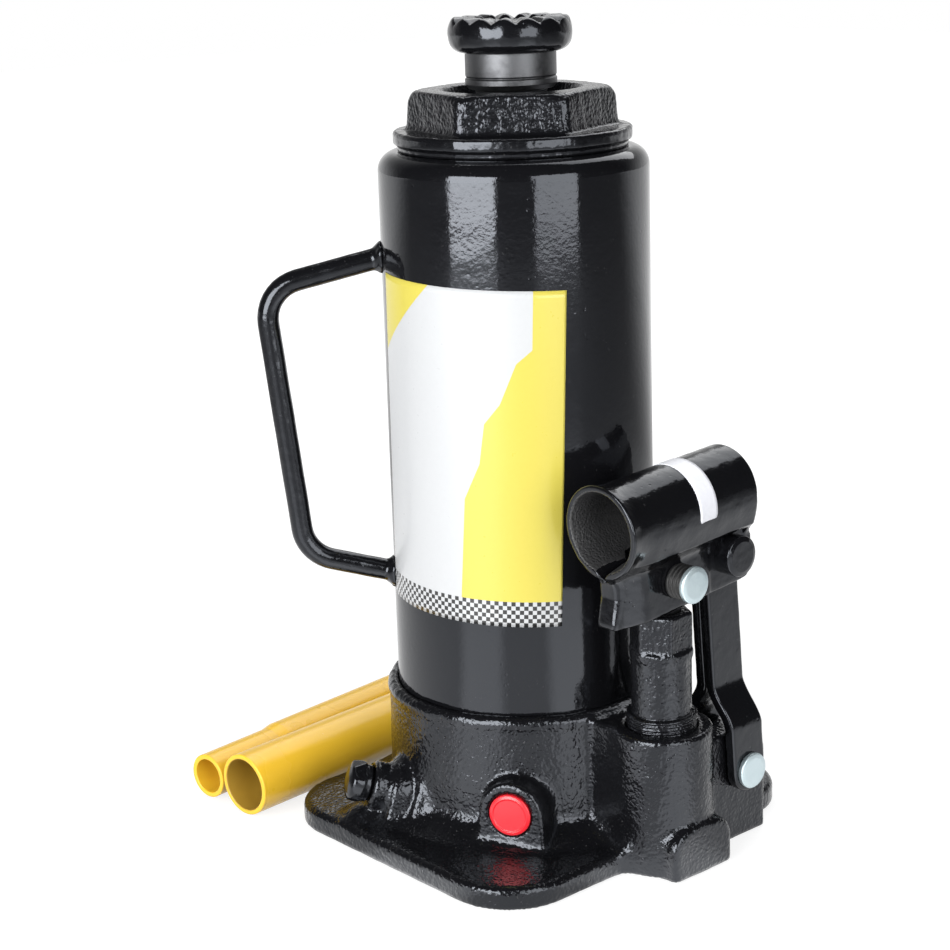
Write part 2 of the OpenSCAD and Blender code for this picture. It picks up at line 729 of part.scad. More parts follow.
module front_pin_zinc() {
    x1 = ear_half + bush_t;
    color([0.75, 0.82, 0.85]) socket_frame() {
        bar_x([front_pin_y, front_pin_up], pin_r, -ear_half - 2.6, x1 + 0.5);
        bar_x([front_pin_y, front_pin_up], zinc_head_r, x1, x1 + zinc_head_t);
    }
}

module front_pin_bush() {
    color([0.05, 0.05, 0.055]) socket_frame() difference() {
        bar_x([front_pin_y, front_pin_up], bush_r, ear_half, ear_half + bush_t);
        bar_x([front_pin_y, front_pin_up], pin_r + run, ear_half - 1, ear_half + bush_t + 1);
        for (i = [1:3]) translate([ear_half + i * 1.3, front_pin_y, front_pin_up]) rotate([0, 90, 0])
            rotate_extrude() polygon([[bush_r + 1, -0.9], [bush_r + 1, 0.9], [bush_r - 0.6, 0]]);
    }
}

module rear_pin_black() {
    color([0.05, 0.05, 0.055]) socket_frame() {
        bar_x([0, 0], pin_r, -ear_half - 2.6, ear_half + 0.5);
        bar_x([0, 0], black_head_r, ear_half, ear_half + black_head_t);
    }
}

module socket_pin_clips() {
    color([0.4, 0.4, 0.42]) socket_frame() {
        clip_ring([front_pin_y, front_pin_up], -ear_half - clip_t - slip);
        clip_ring([0, 0], -ear_half - clip_t - slip);
    }
}

// ---------- valves ----------

module relief_cap() {
    color([0.85, 0.1, 0.12]) valve_frame(relief_at, relief_az, 0) {
        translate([0, 0, -1.6]) cylinder(r = relief_cap_r, h = 1.8);
        translate([0, 0, 0.2]) cylinder(r1 = relief_cap_r, r2 = relief_cap_r - 0.8, h = 0.6);
    }
}

module relief_adjuster() {
    color([0.5, 0.5, 0.52]) valve_frame(relief_at, relief_az, 0) translate([0, 0, -6]) difference() {
        cylinder(r = relief_bore - run, h = 4);
        translate([0, 0, 2]) cylinder(r = 2, h = 4, $fn = 6);
    }
}

module relief_spring() {
    coil = [for (i = [0:36]) let (a = i * 40) [2.6 * cos(a), 2.6 * sin(a), -10.3 + i * 3.8 / 36]];
    color([0.6, 0.6, 0.62]) valve_frame(relief_at, relief_az, 0)
        swept_bar(coil, [for (i = [0:36]) [cos(i * 40), sin(i * 40), 0]], 0.4, 6);
}

module relief_ball() {
    color([0.8, 0.8, 0.82]) valve_frame(relief_at, relief_az, 0) translate([0, 0, -12.6]) sphere(1.4);
}

module release_valve() {
    color([0.06, 0.06, 0.065]) valve_frame(release_at, release_az, release_tilt) difference() {
        union() {
            translate([0, 0, -9]) cylinder(r = release_r, h = 18);
            translate([0, 0, -12]) cylinder(r1 = 1.6, r2 = release_r - 0.6, h = 3);
            translate([0, 0, 9]) cylinder(r = release_r + 1.4, h = 5);
        }
        ring(release_r - 1, release_r + 2, -4, 2.2);
        // flats for the slotted end of the lever
        for (s = [-1, 1]) translate([s * 6.2 - 3.2, -10, 9.01]) cube([6.4, 20, 10]);
    }
}

module release_seal() {
    color([0.1, 0.1, 0.1]) valve_frame(release_at, release_az, release_tilt)
        ring(release_r - 1, release_r + run / 2, -3.9, 2);
}

module release_ball() {
    color([0.8, 0.8, 0.82]) valve_frame(release_at, release_az, release_tilt)
        translate([0, 0, -12.1 - ball_r]) sphere(ball_r);
}

// ---------- levers ----------

module lever_frame(at, r, az) {
    translate([at[0], at[1], r]) rotate([0, 0, az]) rotate([-90, 0, 0]) children();
}

module wide_lever() {
    color([0.85, 0.65, 0.1]) lever_frame(lever_at, lever_r, lever_az)
        ring(lever_r - lever_wall, lever_r, 0, lever_len);
}

module slim_lever() {
    color([0.85, 0.65, 0.1]) lever_frame(slim_at, slim_r, slim_az) difference() {
        union() {
            cylinder(r = swage_r, h = swage_len);
            translate([0, 0, swage_len]) cylinder(r1 = swage_r, r2 = slim_r, h = 4);
            translate([0, 0, swage_len + 4]) cylinder(r = slim_r, h = lever_len - swage_len - 4);
        }
        translate([0, 0, -1]) cylinder(r = swage_r - lever_wall, h = lever_len + 2);
    }
}

base_casting();
reservoir_tube();
tube_seal();
carry_handle();
label();
filler_plug();
pressure_cylinder();
cylinder_gasket();
top_nut();
nut_seal();
ram_wiper();
ram();
ram_stop_ring();
piston_washer();
piston_cup();
piston_nut();
screw_collar();
extension_screw();
saddle();
pump_cylinder();
pump_washer();
plunger();
plunger_seal();
suction_ball();
discharge_ball();
link_plate_right();
link_plate_left();
lug_pin_zinc();
lug_pin_clip();
lever_socket();
socket_sticker();
front_pin_zinc();
front_pin_bush();
rear_pin_black();
socket_pin_clips();
relief_cap();
relief_adjuster();
relief_spring();
relief_ball();
release_valve();
release_seal();
release_ball();
wide_lever();
slim_lever();
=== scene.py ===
import math
import bpy
import numpy as np
from mathutils import Matrix, Vector


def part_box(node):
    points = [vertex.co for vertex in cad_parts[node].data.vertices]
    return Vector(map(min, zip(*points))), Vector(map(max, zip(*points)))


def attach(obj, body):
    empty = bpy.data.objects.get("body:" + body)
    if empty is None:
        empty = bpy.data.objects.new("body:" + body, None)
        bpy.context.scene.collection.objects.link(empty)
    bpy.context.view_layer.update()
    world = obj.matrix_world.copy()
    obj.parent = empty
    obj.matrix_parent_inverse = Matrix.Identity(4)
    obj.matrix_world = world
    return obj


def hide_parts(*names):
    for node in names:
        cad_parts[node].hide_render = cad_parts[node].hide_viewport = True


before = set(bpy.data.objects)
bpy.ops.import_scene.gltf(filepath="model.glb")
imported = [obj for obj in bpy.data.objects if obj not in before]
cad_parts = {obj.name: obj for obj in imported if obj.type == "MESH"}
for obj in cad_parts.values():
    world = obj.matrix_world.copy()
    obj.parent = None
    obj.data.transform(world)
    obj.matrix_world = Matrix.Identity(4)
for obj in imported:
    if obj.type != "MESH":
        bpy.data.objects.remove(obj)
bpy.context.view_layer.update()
print("frame loaded")

mm = 0.001


# ---- fields: distance in mm, below zero inside ----

def melt(a, b, k):  # joins two shapes with a fillet of about k
    h = np.clip(0.5 + 0.5 * (b - a) / k, 0, 1)
    return b + (a - b) * h - k * h * (1 - h)


def meet(a, b, k):  # what both shapes share, its edge rounded
    return -melt(-a, -b, k)


def carve(a, b, k):  # a without b, its edge rounded
    return -melt(-a, b, k)


def distance(a, b):
    return np.sqrt(a * a + b * b)


def boxField(point, low, high, edge):
    q = [np.abs(p - (a + b) / 2) - (b - a) / 2 + edge for p, a, b in zip(point, low, high)]
    out = np.sqrt(sum(np.maximum(v, 0) ** 2 for v in q))
    return out + np.minimum(np.maximum(np.maximum(q[0], q[1]), q[2]), 0) - edge


def boxed(field, low, high):  # keeps a shape inside its CAD box
    return lambda x, y, z: np.maximum(field(x, y, z), boxField((x, y, z), low, high, 0.0))


def drumField(radial, along, radius, start, end, edge):
    across = radial - radius + edge
    length = np.abs(along - (start + end) / 2) - (end - start) / 2 + edge
    out = distance(np.maximum(across, 0), np.maximum(length, 0))
    return out + np.minimum(np.maximum(across, length), 0) - edge


def hexField(x, y, across, turn, edge):  # six flats round the z axis
    flats = np.full(np.shape(x), -1e3)
    for k in range(6):
        a = math.radians(turn + 30 + 60 * k)
        flats = meet(flats, x * math.cos(a) + y * math.sin(a) - across, edge)
    return flats


def lumps(x, y, z, size, seed):  # slow waves that make a casting uneven
    rng = np.random.default_rng(seed)
    total = 0
    for wave in range(7):
        way = rng.normal(size=3)
        way *= 2 * math.pi / (np.linalg.norm(way) * size * (0.6 + 0.14 * wave))
        total = total + np.sin(x * way[0] + y * way[1] + z * way[2] + rng.uniform(0, 6.28))
    return total / 7


def netField(field, low, high, step):  # a quad mesh wrapped on the field's zero surface
    axes = [np.arange(a - 2 * step, b + 3 * step, step) for a, b in zip(low, high)]
    value = field(*np.meshgrid(*axes, indexing="ij"))
    shape = np.array(value.shape) - 1
    total = np.zeros(tuple(shape) + (3,))
    count = np.zeros(tuple(shape))
    crossings = []
    for axis in range(3):
        others = [a for a in range(3) if a != axis]
        lower = [slice(None)] * 3
        upper = [slice(None)] * 3
        lower[axis] = slice(0, -1)
        upper[axis] = slice(1, None)
        first, second = value[tuple(lower)], value[tuple(upper)]
        cross = (first < 0) != (second < 0)
        part = np.where(cross, first / np.where(cross, first - second, 1), 0)
        crossings.append((cross, first < 0))
        for i in (0, 1):
            for j in (0, 1):
                cut = [slice(None)] * 3
                cut[others[0]] = slice(i, shape[others[0]] + i)
                cut[others[1]] = slice(j, shape[others[1]] + j)
                here = cross[tuple(cut)]
                total[..., axis] += part[tuple(cut)]
                total[..., others[0]] += i * here
                total[..., others[1]] += j * here
                count += here
    live = count > 0
    number = np.full(live.shape, -1)
    number[live] = np.arange(live.sum())
    corner = np.stack(np.nonzero(live), 1)
    points = (corner + total[live] / count[live][:, None]) * step + np.array([a[0] for a in axes])
    quads = []
    for axis in range(3):
        b, c = [a for a in range(3) if a != axis]
        cross, inside = crossings[axis]
        spot = np.stack(np.nonzero(cross), 1)
        placeB, placeC = spot[:, b], spot[:, c]
        spot = spot[(placeB > 0) & (placeC > 0) & (placeB < shape[b]) & (placeC < shape[c])]
        ring = []
        for backB, backC in ((1, 1), (0, 1), (0, 0), (1, 0)):
            cell = spot.copy()
            cell[:, b] -= backB
            cell[:, c] -= backC
            ring.append(number[tuple(cell.T)])
        quad = np.stack(ring, 1)
        flip = inside[tuple(spot.T)] == (axis == 1)
        quad[flip] = quad[flip][:, ::-1]
        quads.append(quad)
    for _ in range(2):  # settle the points on the surface
        level = field(*points.T)
        slope = np.stack([(field(*(points + d).T) - field(*(points - d).T)) / (0.4 * step)
                          for d in np.eye(3) * 0.2 * step], 1)
        reach = np.clip(level / np.maximum((slope ** 2).sum(1), 0.1), -step, step)
        points = points - slope * reach[:, None]
    return points, np.concatenate(quads)


# ---- turned and swept shapes ----

def roundLine(corners, closed=True, arc=5):  # corners are (r, z, rounding)
    line = []
    last = len(corners)
    for i, (r, z, bend) in enumerate(corners):
        here = np.array([r, z], float)
        if bend == 0 or (not closed and i in (0, last - 1)):
            line.append(here)
            continue
        before = np.array(corners[i - 1][:2], float) - here
        after = np.array(corners[(i + 1) % last][:2], float) - here
        lengthA, lengthB = np.linalg.norm(before), np.linalg.norm(after)
        before, after = before / lengthA, after / lengthB
        half = math.acos(np.clip(before @ after, -1, 1)) / 2
        cut = min(bend / math.tan(half), lengthA * 0.49, lengthB * 0.49)
        radius = cut * math.tan(half)
        centre = here + (before + after) / np.linalg.norm(before + after) * radius / math.sin(half)
        start, end = here + before * cut - centre, here + after * cut - centre
        span = math.pi - 2 * half
        for k in range(arc + 1):
            t = k / arc
            blend = math.sin(span * (1 - t)) * start + math.sin(span * t) * end
            line.append(centre + blend / math.sin(span))
    return np.array(line)


def spin(line, sides, closed=True):  # turns a (r, z) line round the z axis
    turn = np.linspace(0, 2 * math.pi, sides, endpoint=False)
    r, z = line[:, 0], line[:, 1]
    points = np.concatenate([np.stack([r * math.cos(a), r * math.sin(a), z], 1) for a in turn])
    count = len(line)
    faces = []
    for s in range(sides):
        here, there = s * count, (s + 1) % sides * count
        for k in range(count if closed else count - 1):
            nxt = (k + 1) % count
            faces.append((here + k, there + k, there + nxt, here + nxt))
    if not closed:
        faces.append([s * count for s in range(sides)][::-1])
        faces.append([s * count + count - 1 for s in range(sides)])
    return points, faces


def gridFaces(columns, rows):  # quads over points that run up each column in turn
    faces = []
    for i in range(columns):
        for j in range(rows):
            k = i * (rows + 1) + j
            faces.append((k, k + rows + 1, k + rows + 2, k + 1))
    return faces


def aim(points, origin, way, up=(0, 0, 1)):  # stands a shape's z axis along way
    z = np.array(way, float) / np.linalg.norm(way)
    x = np.cross(up, z) if abs(np.dot(up, z)) < 0.99 else np.array([1.0, 0, 0])
    x /= np.linalg.norm(x)
    return points @ np.stack([x, np.cross(z, x), z]) + np.array(origin, float)


# ---- pieces ----

def addObject(name, data):
    thing = bpy.data.objects.new(name, data)
    bpy.context.scene.collection.objects.link(thing)
    return thing


def addPiece(name, points, faces, body, material, replaces=(), soften=True):
    mesh = bpy.data.meshes.new(name)
    mesh.from_pydata((np.asarray(points) * mm).tolist(), [], [list(map(int, f)) for f in faces])
    mesh.update()
    mesh.polygons.foreach_set("use_smooth", [True] * len(mesh.polygons))
    mesh.materials.append(material)
    piece = addObject(name, mesh)
    if soften:
        piece.modifiers.new("faceWeights", "WEIGHTED_NORMAL").keep_sharp = True
    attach(piece, body)
    if replaces:
        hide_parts(*replaces)
    return piece


def addField(name, field, box, steps, body, slot, material, node, lining=None):
    low, high = box
    points, faces = netField(field, low, high, steps[0])
    piece = addPiece(name, points, faces, body, material, [node], soften=False)
    if lining:  # faces inside a bore take a second finish
        inside, liner = lining
        piece.data.materials.append(liner)
        middle = points[faces].mean(axis=1)
        piece.data.polygons.foreach_set("material_index", inside(*middle.T).astype(int))
    print("  ", name, len(faces), "faces")
    return piece


def addBoxed(name, field, box, *rest, **more):
    return addField(name, boxed(field, *box), box, *rest, **more)


def corners(node):  # a CAD node's box in mm
    low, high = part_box(node)
    return np.array(low) / mm, np.array(high) / mm


# ---- shared effects ----

def newGroup(name, inputs):
    tree = bpy.data.node_groups.new(name, "ShaderNodeTree")
    kinds = {1: "NodeSocketFloat", 3: "NodeSocketVector", 4: "NodeSocketColor"}
    for label, value in inputs.items():
        socket = tree.interface.new_socket(label, in_out="INPUT", socket_type=kinds[np.size(value)])
        socket.default_value = value
    for label, size in (("Colour", 4), ("Roughness", 1), ("Height", 1)):
        tree.interface.new_socket(label, in_out="OUTPUT", socket_type=kinds[size])
    start = tree.nodes.new("NodeGroupInput")
    end = tree.nodes.new("NodeGroupOutput")
    return tree, start.outputs, end.inputs


def newMaterial(name):
    material = bpy.data.materials.new(name)
    material.use_nodes = True
    return material, material.node_tree, material.node_tree.nodes["Principled BSDF"]


def addNode(tree, kind, values=None, **settings):
    node = tree.nodes.new(kind)
    for key, value in settings.items():
        setattr(node, key, value)
    for key, value in (values or {}).items():
        if isinstance(value, bpy.types.NodeSocket):
            tree.links.new(value, node.inputs[key])
        else:
            node.inputs[key].default_value = value
    return node


def mathNode(tree, operation, a, b=0.0, c=0.0):
    node = addNode(tree, "ShaderNodeMath", {0: a, 1: b, 2: c}, operation=operation)
    return node.outputs[0]


def vectorNode(tree, operation, a, b=None):
    values = {0: a} if b is None else {0: a, 1: b}
    node = addNode(tree, "ShaderNodeVectorMath", values, operation=operation)
    return node.outputs["Value" if operation in ("LENGTH", "DOT_PRODUCT") else "Vector"]


def rampNode(tree, value, low, high, outLow=0.0, outHigh=1.0):
    values = {"Value": value, "From Min": low, "From Max": high, "To Min": outLow, "To Max": outHigh}
    node = addNode(tree, "ShaderNodeMapRange", values, interpolation_type="SMOOTHSTEP")
    return node.outputs[0]


def mixColour(tree, amount, a, b):
    node = addNode(tree, "ShaderNodeMix", {0: amount, 6: a, 7: b}, data_type="RGBA")
    return node.outputs[2]


def noiseNode(tree, place, scale, detail=2.0, rough=0.5, warp=0.0):
    values = {"Vector": place, "Scale": scale, "Detail": detail, "Roughness": rough, "Distortion": warp}
    node = addNode(tree, "ShaderNodeTexNoise", values)
    return node.outputs["Fac"]


def makePaintSkin():  # thick sprayed paint: orange peel, sags, pits and dust
    tree, given, put = newGroup("paintSkin", {
        "Peel Size": 0.0016, "Peel Depth": 0.00004, "Sag Size": 0.012, "Sag Depth": 0.0002,
        "Pebble Size": 0.002, "Pebble Depth": 0.0, "Pits": 0.3, "Dust": 0.2,
        "Colour": (0.01, 0.01, 0.01, 1), "Dust Colour": (0.3, 0.3, 0.3, 1), "Gloss": 0.12})
    place = addNode(tree, "ShaderNodeTexCoord").outputs["Object"]
    peel = noiseNode(tree, place, mathNode(tree, "DIVIDE", 1.0, given["Peel Size"]), 2.5, 0.55)
    sag = noiseNode(tree, place, mathNode(tree, "DIVIDE", 1.0, given["Sag Size"]), 2.0, 0.5, 0.4)
    pit = addNode(tree, "ShaderNodeTexVoronoi", {"Vector": place, "Scale": 420.0}).outputs["Distance"]
    pitMask = rampNode(tree, pit, 0.05, 0.22, 1.0, 0.0)
    rare = rampNode(tree, noiseNode(tree, place, 90.0), 0.52, 0.66)
    pitMask = mathNode(tree, "MULTIPLY", mathNode(tree, "MULTIPLY", pitMask, rare), given["Pits"])
    height = mathNode(tree, "MULTIPLY", peel, given["Peel Depth"])
    height = mathNode(tree, "MULTIPLY_ADD", sag, given["Sag Depth"], height)
    height = mathNode(tree, "MULTIPLY_ADD", pitMask, -0.00025, height)
    bent = noiseNode(tree, place, 260.0, 1.0)
    bent = vectorNode(tree, "MULTIPLY", bent, (0.0016, 0.0016, 0.0016))
    bent = vectorNode(tree, "ADD", place, bent)
    stoneScale = mathNode(tree, "DIVIDE", 1.0, given["Pebble Size"])
    stones = addNode(tree, "ShaderNodeTexVoronoi", {"Vector": bent, "Scale": stoneScale}, feature="SMOOTH_F1")
    stones.inputs["Smoothness"].default_value = 0.6
    dips = mathNode(tree, "MULTIPLY", stones.outputs["Distance"], -1.0)
    height = mathNode(tree, "MULTIPLY_ADD", dips, given["Pebble Depth"], height)
    specks = rampNode(tree, noiseNode(tree, place, 1400.0, 1.0), 0.70, 0.78)
    drift = rampNode(tree, noiseNode(tree, place, 60.0, 3.0), 0.4, 0.75)
    dust = mathNode(tree, "MULTIPLY", mathNode(tree, "MULTIPLY", specks, drift), given["Dust"])
    colour = mixColour(tree, dust, given["Colour"], given["Dust Colour"])
    shade = mathNode(tree, "MULTIPLY_ADD", drift, 0.06, given["Gloss"])
    shade = mathNode(tree, "MULTIPLY_ADD", dust, 0.4, shade)
    tree.links.new(colour, put["Colour"])
    tree.links.new(shade, put["Roughness"])
    tree.links.new(height, put["Height"])
    return tree


def makeMachined():  # turned or drawn metal: fine rings or streaks with blotches
    tree, given, put = newGroup("machined", {
        "Along": (1, 1, 12), "Fineness": 900.0, "Colour": (0.5, 0.5, 0.5, 1), "Stain": (0.2, 0.2, 0.2, 1),
        "Stain Amount": 0.4, "Gloss": 0.25})
    place = addNode(tree, "ShaderNodeTexCoord").outputs["Object"]
    stretched = vectorNode(tree, "MULTIPLY", place, given["Along"])
    paintedPanelStreak = noiseNode(tree, stretched, given["Fineness"], 3.0, 0.6)
    blot = rampNode(tree, noiseNode(tree, place, 120.0, 4.0, 0.6), 0.45, 0.7)
    stain = mathNode(tree, "MULTIPLY", blot, given["Stain Amount"])
    stain = mathNode(tree, "MULTIPLY_ADD", paintedPanelStreak, 0.25, stain)
    tree.links.new(mixColour(tree, stain, given["Colour"], given["Stain"]), put["Colour"])
    tree.links.new(mathNode(tree, "MULTIPLY_ADD", paintedPanelStreak, 0.2, given["Gloss"]), put["Roughness"])
    tree.links.new(mathNode(tree, "MULTIPLY", paintedPanelStreak, 0.00002), put["Height"])
    return tree


paintSkin = makePaintSkin()
machined = makeMachined()


def finishWith(name, group, values, **sockets):
    material, tree, shader = newMaterial(name)
    for key, value in sockets.items():
        shader.inputs[key.replace("_", " ")].default_value = value
    effect = tree.nodes.new("ShaderNodeGroup")
    effect.node_tree = group
    for key, value in values.items():
        effect.inputs[key].default_value = value
    depth = {"Strength": 1.0, "Distance": 1.0, "Height": effect.outputs["Height"]}
    bump = addNode(tree, "ShaderNodeBump", depth)
    tree.links.new(effect.outputs["Colour"], shader.inputs["Base Color"])
    tree.links.new(effect.outputs["Roughness"], shader.inputs["Roughness"])
    tree.links.new(bump.outputs["Normal"], shader.inputs["Normal"])
    return material


blackInk = (0.0045, 0.0046, 0.0055, 1)
coolTint = (0.86, 0.91, 1.0, 1)


def paint(name, colour, gloss, peel, sag, pits, dust, pebble=(0.002, 0.0),
          dustColour=(0.3, 0.3, 0.3, 1), **sockets):  # peel, sag and pebble are (size, depth) in metres
    return finishWith(name, paintSkin, {
        "Colour": colour, "Gloss": gloss, "Peel Size": peel[0], "Peel Depth": peel[1], "Sag Size": sag[0],
        "Sag Depth": sag[1], "Pits": pits, "Dust": dust, "Pebble Size": pebble[0],
        "Pebble Depth": pebble[1], "Dust Colour": dustColour}, **sockets)


def metal(name, colour, gloss, along, amount=0.4, stain=(0.2, 0.2, 0.2, 1), fineness=900.0, metallic=1.0):
    return finishWith(name, machined, {
        "Along": along, "Colour": colour, "Stain": stain, "Stain Amount": amount, "Gloss": gloss,
        "Fineness": fineness}, Metallic=metallic)


castPaint = paint("castPaint", blackInk, 0.15, (0.0014, 0.00018), (0.006, 0.00025), 0.6, 0.25,
                  (0.001, 0.00014), Specular_Tint=coolTint)
tubePaint = paint("tubePaint", blackInk, 0.07, (0.0013, 0.00003), (0.02, 0.00014), 0.12, 0.1,
                  Specular_Tint=coolTint)
nutPaint = paint("nutPaint", blackInk, 0.18, (0.0012, 0.00014), (0.006, 0.0002), 0.7, 0.3,
                 (0.0011, 0.00019), Specular_Tint=coolTint)
forgedPaint = paint("forgedPaint", blackInk, 0.13, (0.002, 0.00008), (0.007, 0.0002), 0.3, 0.15,
                    Specular_Tint=coolTint)
roughPaint = paint("roughPaint", (0.03, 0.03, 0.031, 1), 0.4, (0.0008, 0.0002), (0.007, 0.0002), 0.3, 0.9,
                   (0.0007, 0.00018))
yellowPaint = paint("yellowPaint", (0.78, 0.47, 0.03, 1), 0.25, (0.0016, 0.00001), (0.03, 0.0001), 0.1, 0.3,
                    dustColour=(0.45, 0.27, 0.02, 1))
dullPaint = paint("dullPaint", (0.42, 0.25, 0.03, 1), 0.45, (0.002, 0.00003), (0.01, 0.0002), 0.3, 0.7,
                  dustColour=(0.2, 0.12, 0.02, 1))
bareTube = metal("bareTube", (0.1, 0.085, 0.045, 1), 0.45, (1, 0.1, 1), 0.7, (0.05, 0.04, 0.02, 1),
                 metallic=0.4)
redPlastic = paint("redPlastic", (0.68, 0.02, 0.03, 1), 0.28, (0.001, 0.00001), (0.01, 0.00005), 0.0, 0.2,
                   dustColour=(0.4, 0.01, 0.02, 1))
rubberBlack = paint("rubberBlack", (0.012, 0.012, 0.012, 1), 0.5, (0.0009, 0.00002), (0.01, 0.00005),
                    0.0, 0.3)
cupPlastic = paint("cupPlastic", (0.62, 0.36, 0.07, 1), 0.35, (0.001, 0.00001), (0.01, 0.00003), 0.0, 0.1)
turnedSteel = metal("turnedSteel", (0.22, 0.225, 0.24, 1), 0.28, (1, 1, 14), 0.7, (0.05, 0.05, 0.055, 1))
ramSteel = metal("ramSteel", (0.4, 0.405, 0.42, 1), 0.17, (1, 1, 14), 0.15, (0.2, 0.2, 0.21, 1))
barSteel = metal("barSteel", (0.13, 0.133, 0.14, 1), 0.33, (1, 1, 26), 0.6, (0.035, 0.035, 0.037, 1))
zincPlate = metal("zincPlate", (0.6, 0.7, 0.73, 1), 0.3, (1, 1, 1), 0.5, (0.42, 0.52, 0.56, 1),
                  fineness=400.0, metallic=0.8)
springSteel = metal("springSteel", (0.25, 0.25, 0.26, 1), 0.3, (1, 1, 1), stain=(0.08, 0.08, 0.08, 1))
ballSteel = metal("ballSteel", (0.7, 0.7, 0.7, 1), 0.08, (1, 1, 1), 0.1)
copperSheet = metal("copperSheet", (0.72, 0.4, 0.22, 1), 0.3, (1, 1, 1), stain=(0.3, 0.14, 0.08, 1))
print("finishes made")


# ---- base casting ----

plate = {"edgeThick": 6.5, "dome": 2.5, "cornerRound": 19, "topEdge": 1.6, "back": 46.3, "front": 54.2,
         "half": 58.7}
turret = {"radius": 40.3, "top": 40.1, "bead": 2.0, "beadAt": 38.6, "seat": 33, "seatRadius": 37.6,
          "well": 24.1, "wellFloor": 11, "bossTop": 31}
pump = {"x": 54.6, "boss": 14, "bridge": 12.3, "bore": 9.9, "floor": 22.8, "toeFace": 69.4,
        "toeSide": (-10.4, 12.4), "toeTop": 14.2, "toeRound": 6}
lug = {"half": 6, "back": 36.2, "top": 33, "round": 10, "pin": (25.7, 21.4), "hole": 3.45}
relief = {"at": (30.5, -35.5, 16.3), "turn": -62, "tilt": 0, "arch": 9.25, "depth": 22, "reach": 0,
          "bore": 6.15}
release = {"at": (-11.5, -42.8, 14), "turn": -122, "tilt": 18, "arch": 8.5, "depth": 20, "step": 6.5,
           "reach": 1.5, "spout": 6.9, "spoutEnd": 6.8, "mound": (-16, -49.5), "moundSize": 7,
           "bore": 4.9}


def valveAxes(valve):  # outward, sideways and upward directions at a valve boss
    a, t = math.radians(valve["turn"]), math.radians(valve["tilt"])
    out = np.array([math.cos(a) * math.cos(t), math.sin(a) * math.cos(t), math.sin(t)])
    side = np.array([-math.sin(a), math.cos(a), 0])
    return out, side, np.cross(out, side)


def valvePoint(x, y, z, valve):
    dx, dy, dz = (p - q for p, q in zip((x, y, z), valve["at"]))
    return (dx * d[0] + dy * d[1] + dz * d[2] for d in valveAxes(valve))


def valveField(x, y, z, valve):  # arched boss that grows out of the turret
    w, u, v = valvePoint(x, y, z, valve)
    skirt = np.abs(u) - valve["arch"] - 0.09 * np.maximum(-v, 0)
    arch = np.where(v > 0, distance(u, v) - valve["arch"], skirt)
    slab = np.maximum(w - valve["reach"], -valve["depth"] - w)
    boss = meet(arch, slab, 1.3)
    if "step" in valve:
        boss = melt(boss, meet(arch - 1.9, slab + valve["step"], 1.3), 0.8)
    return boss, w, distance(u, v)


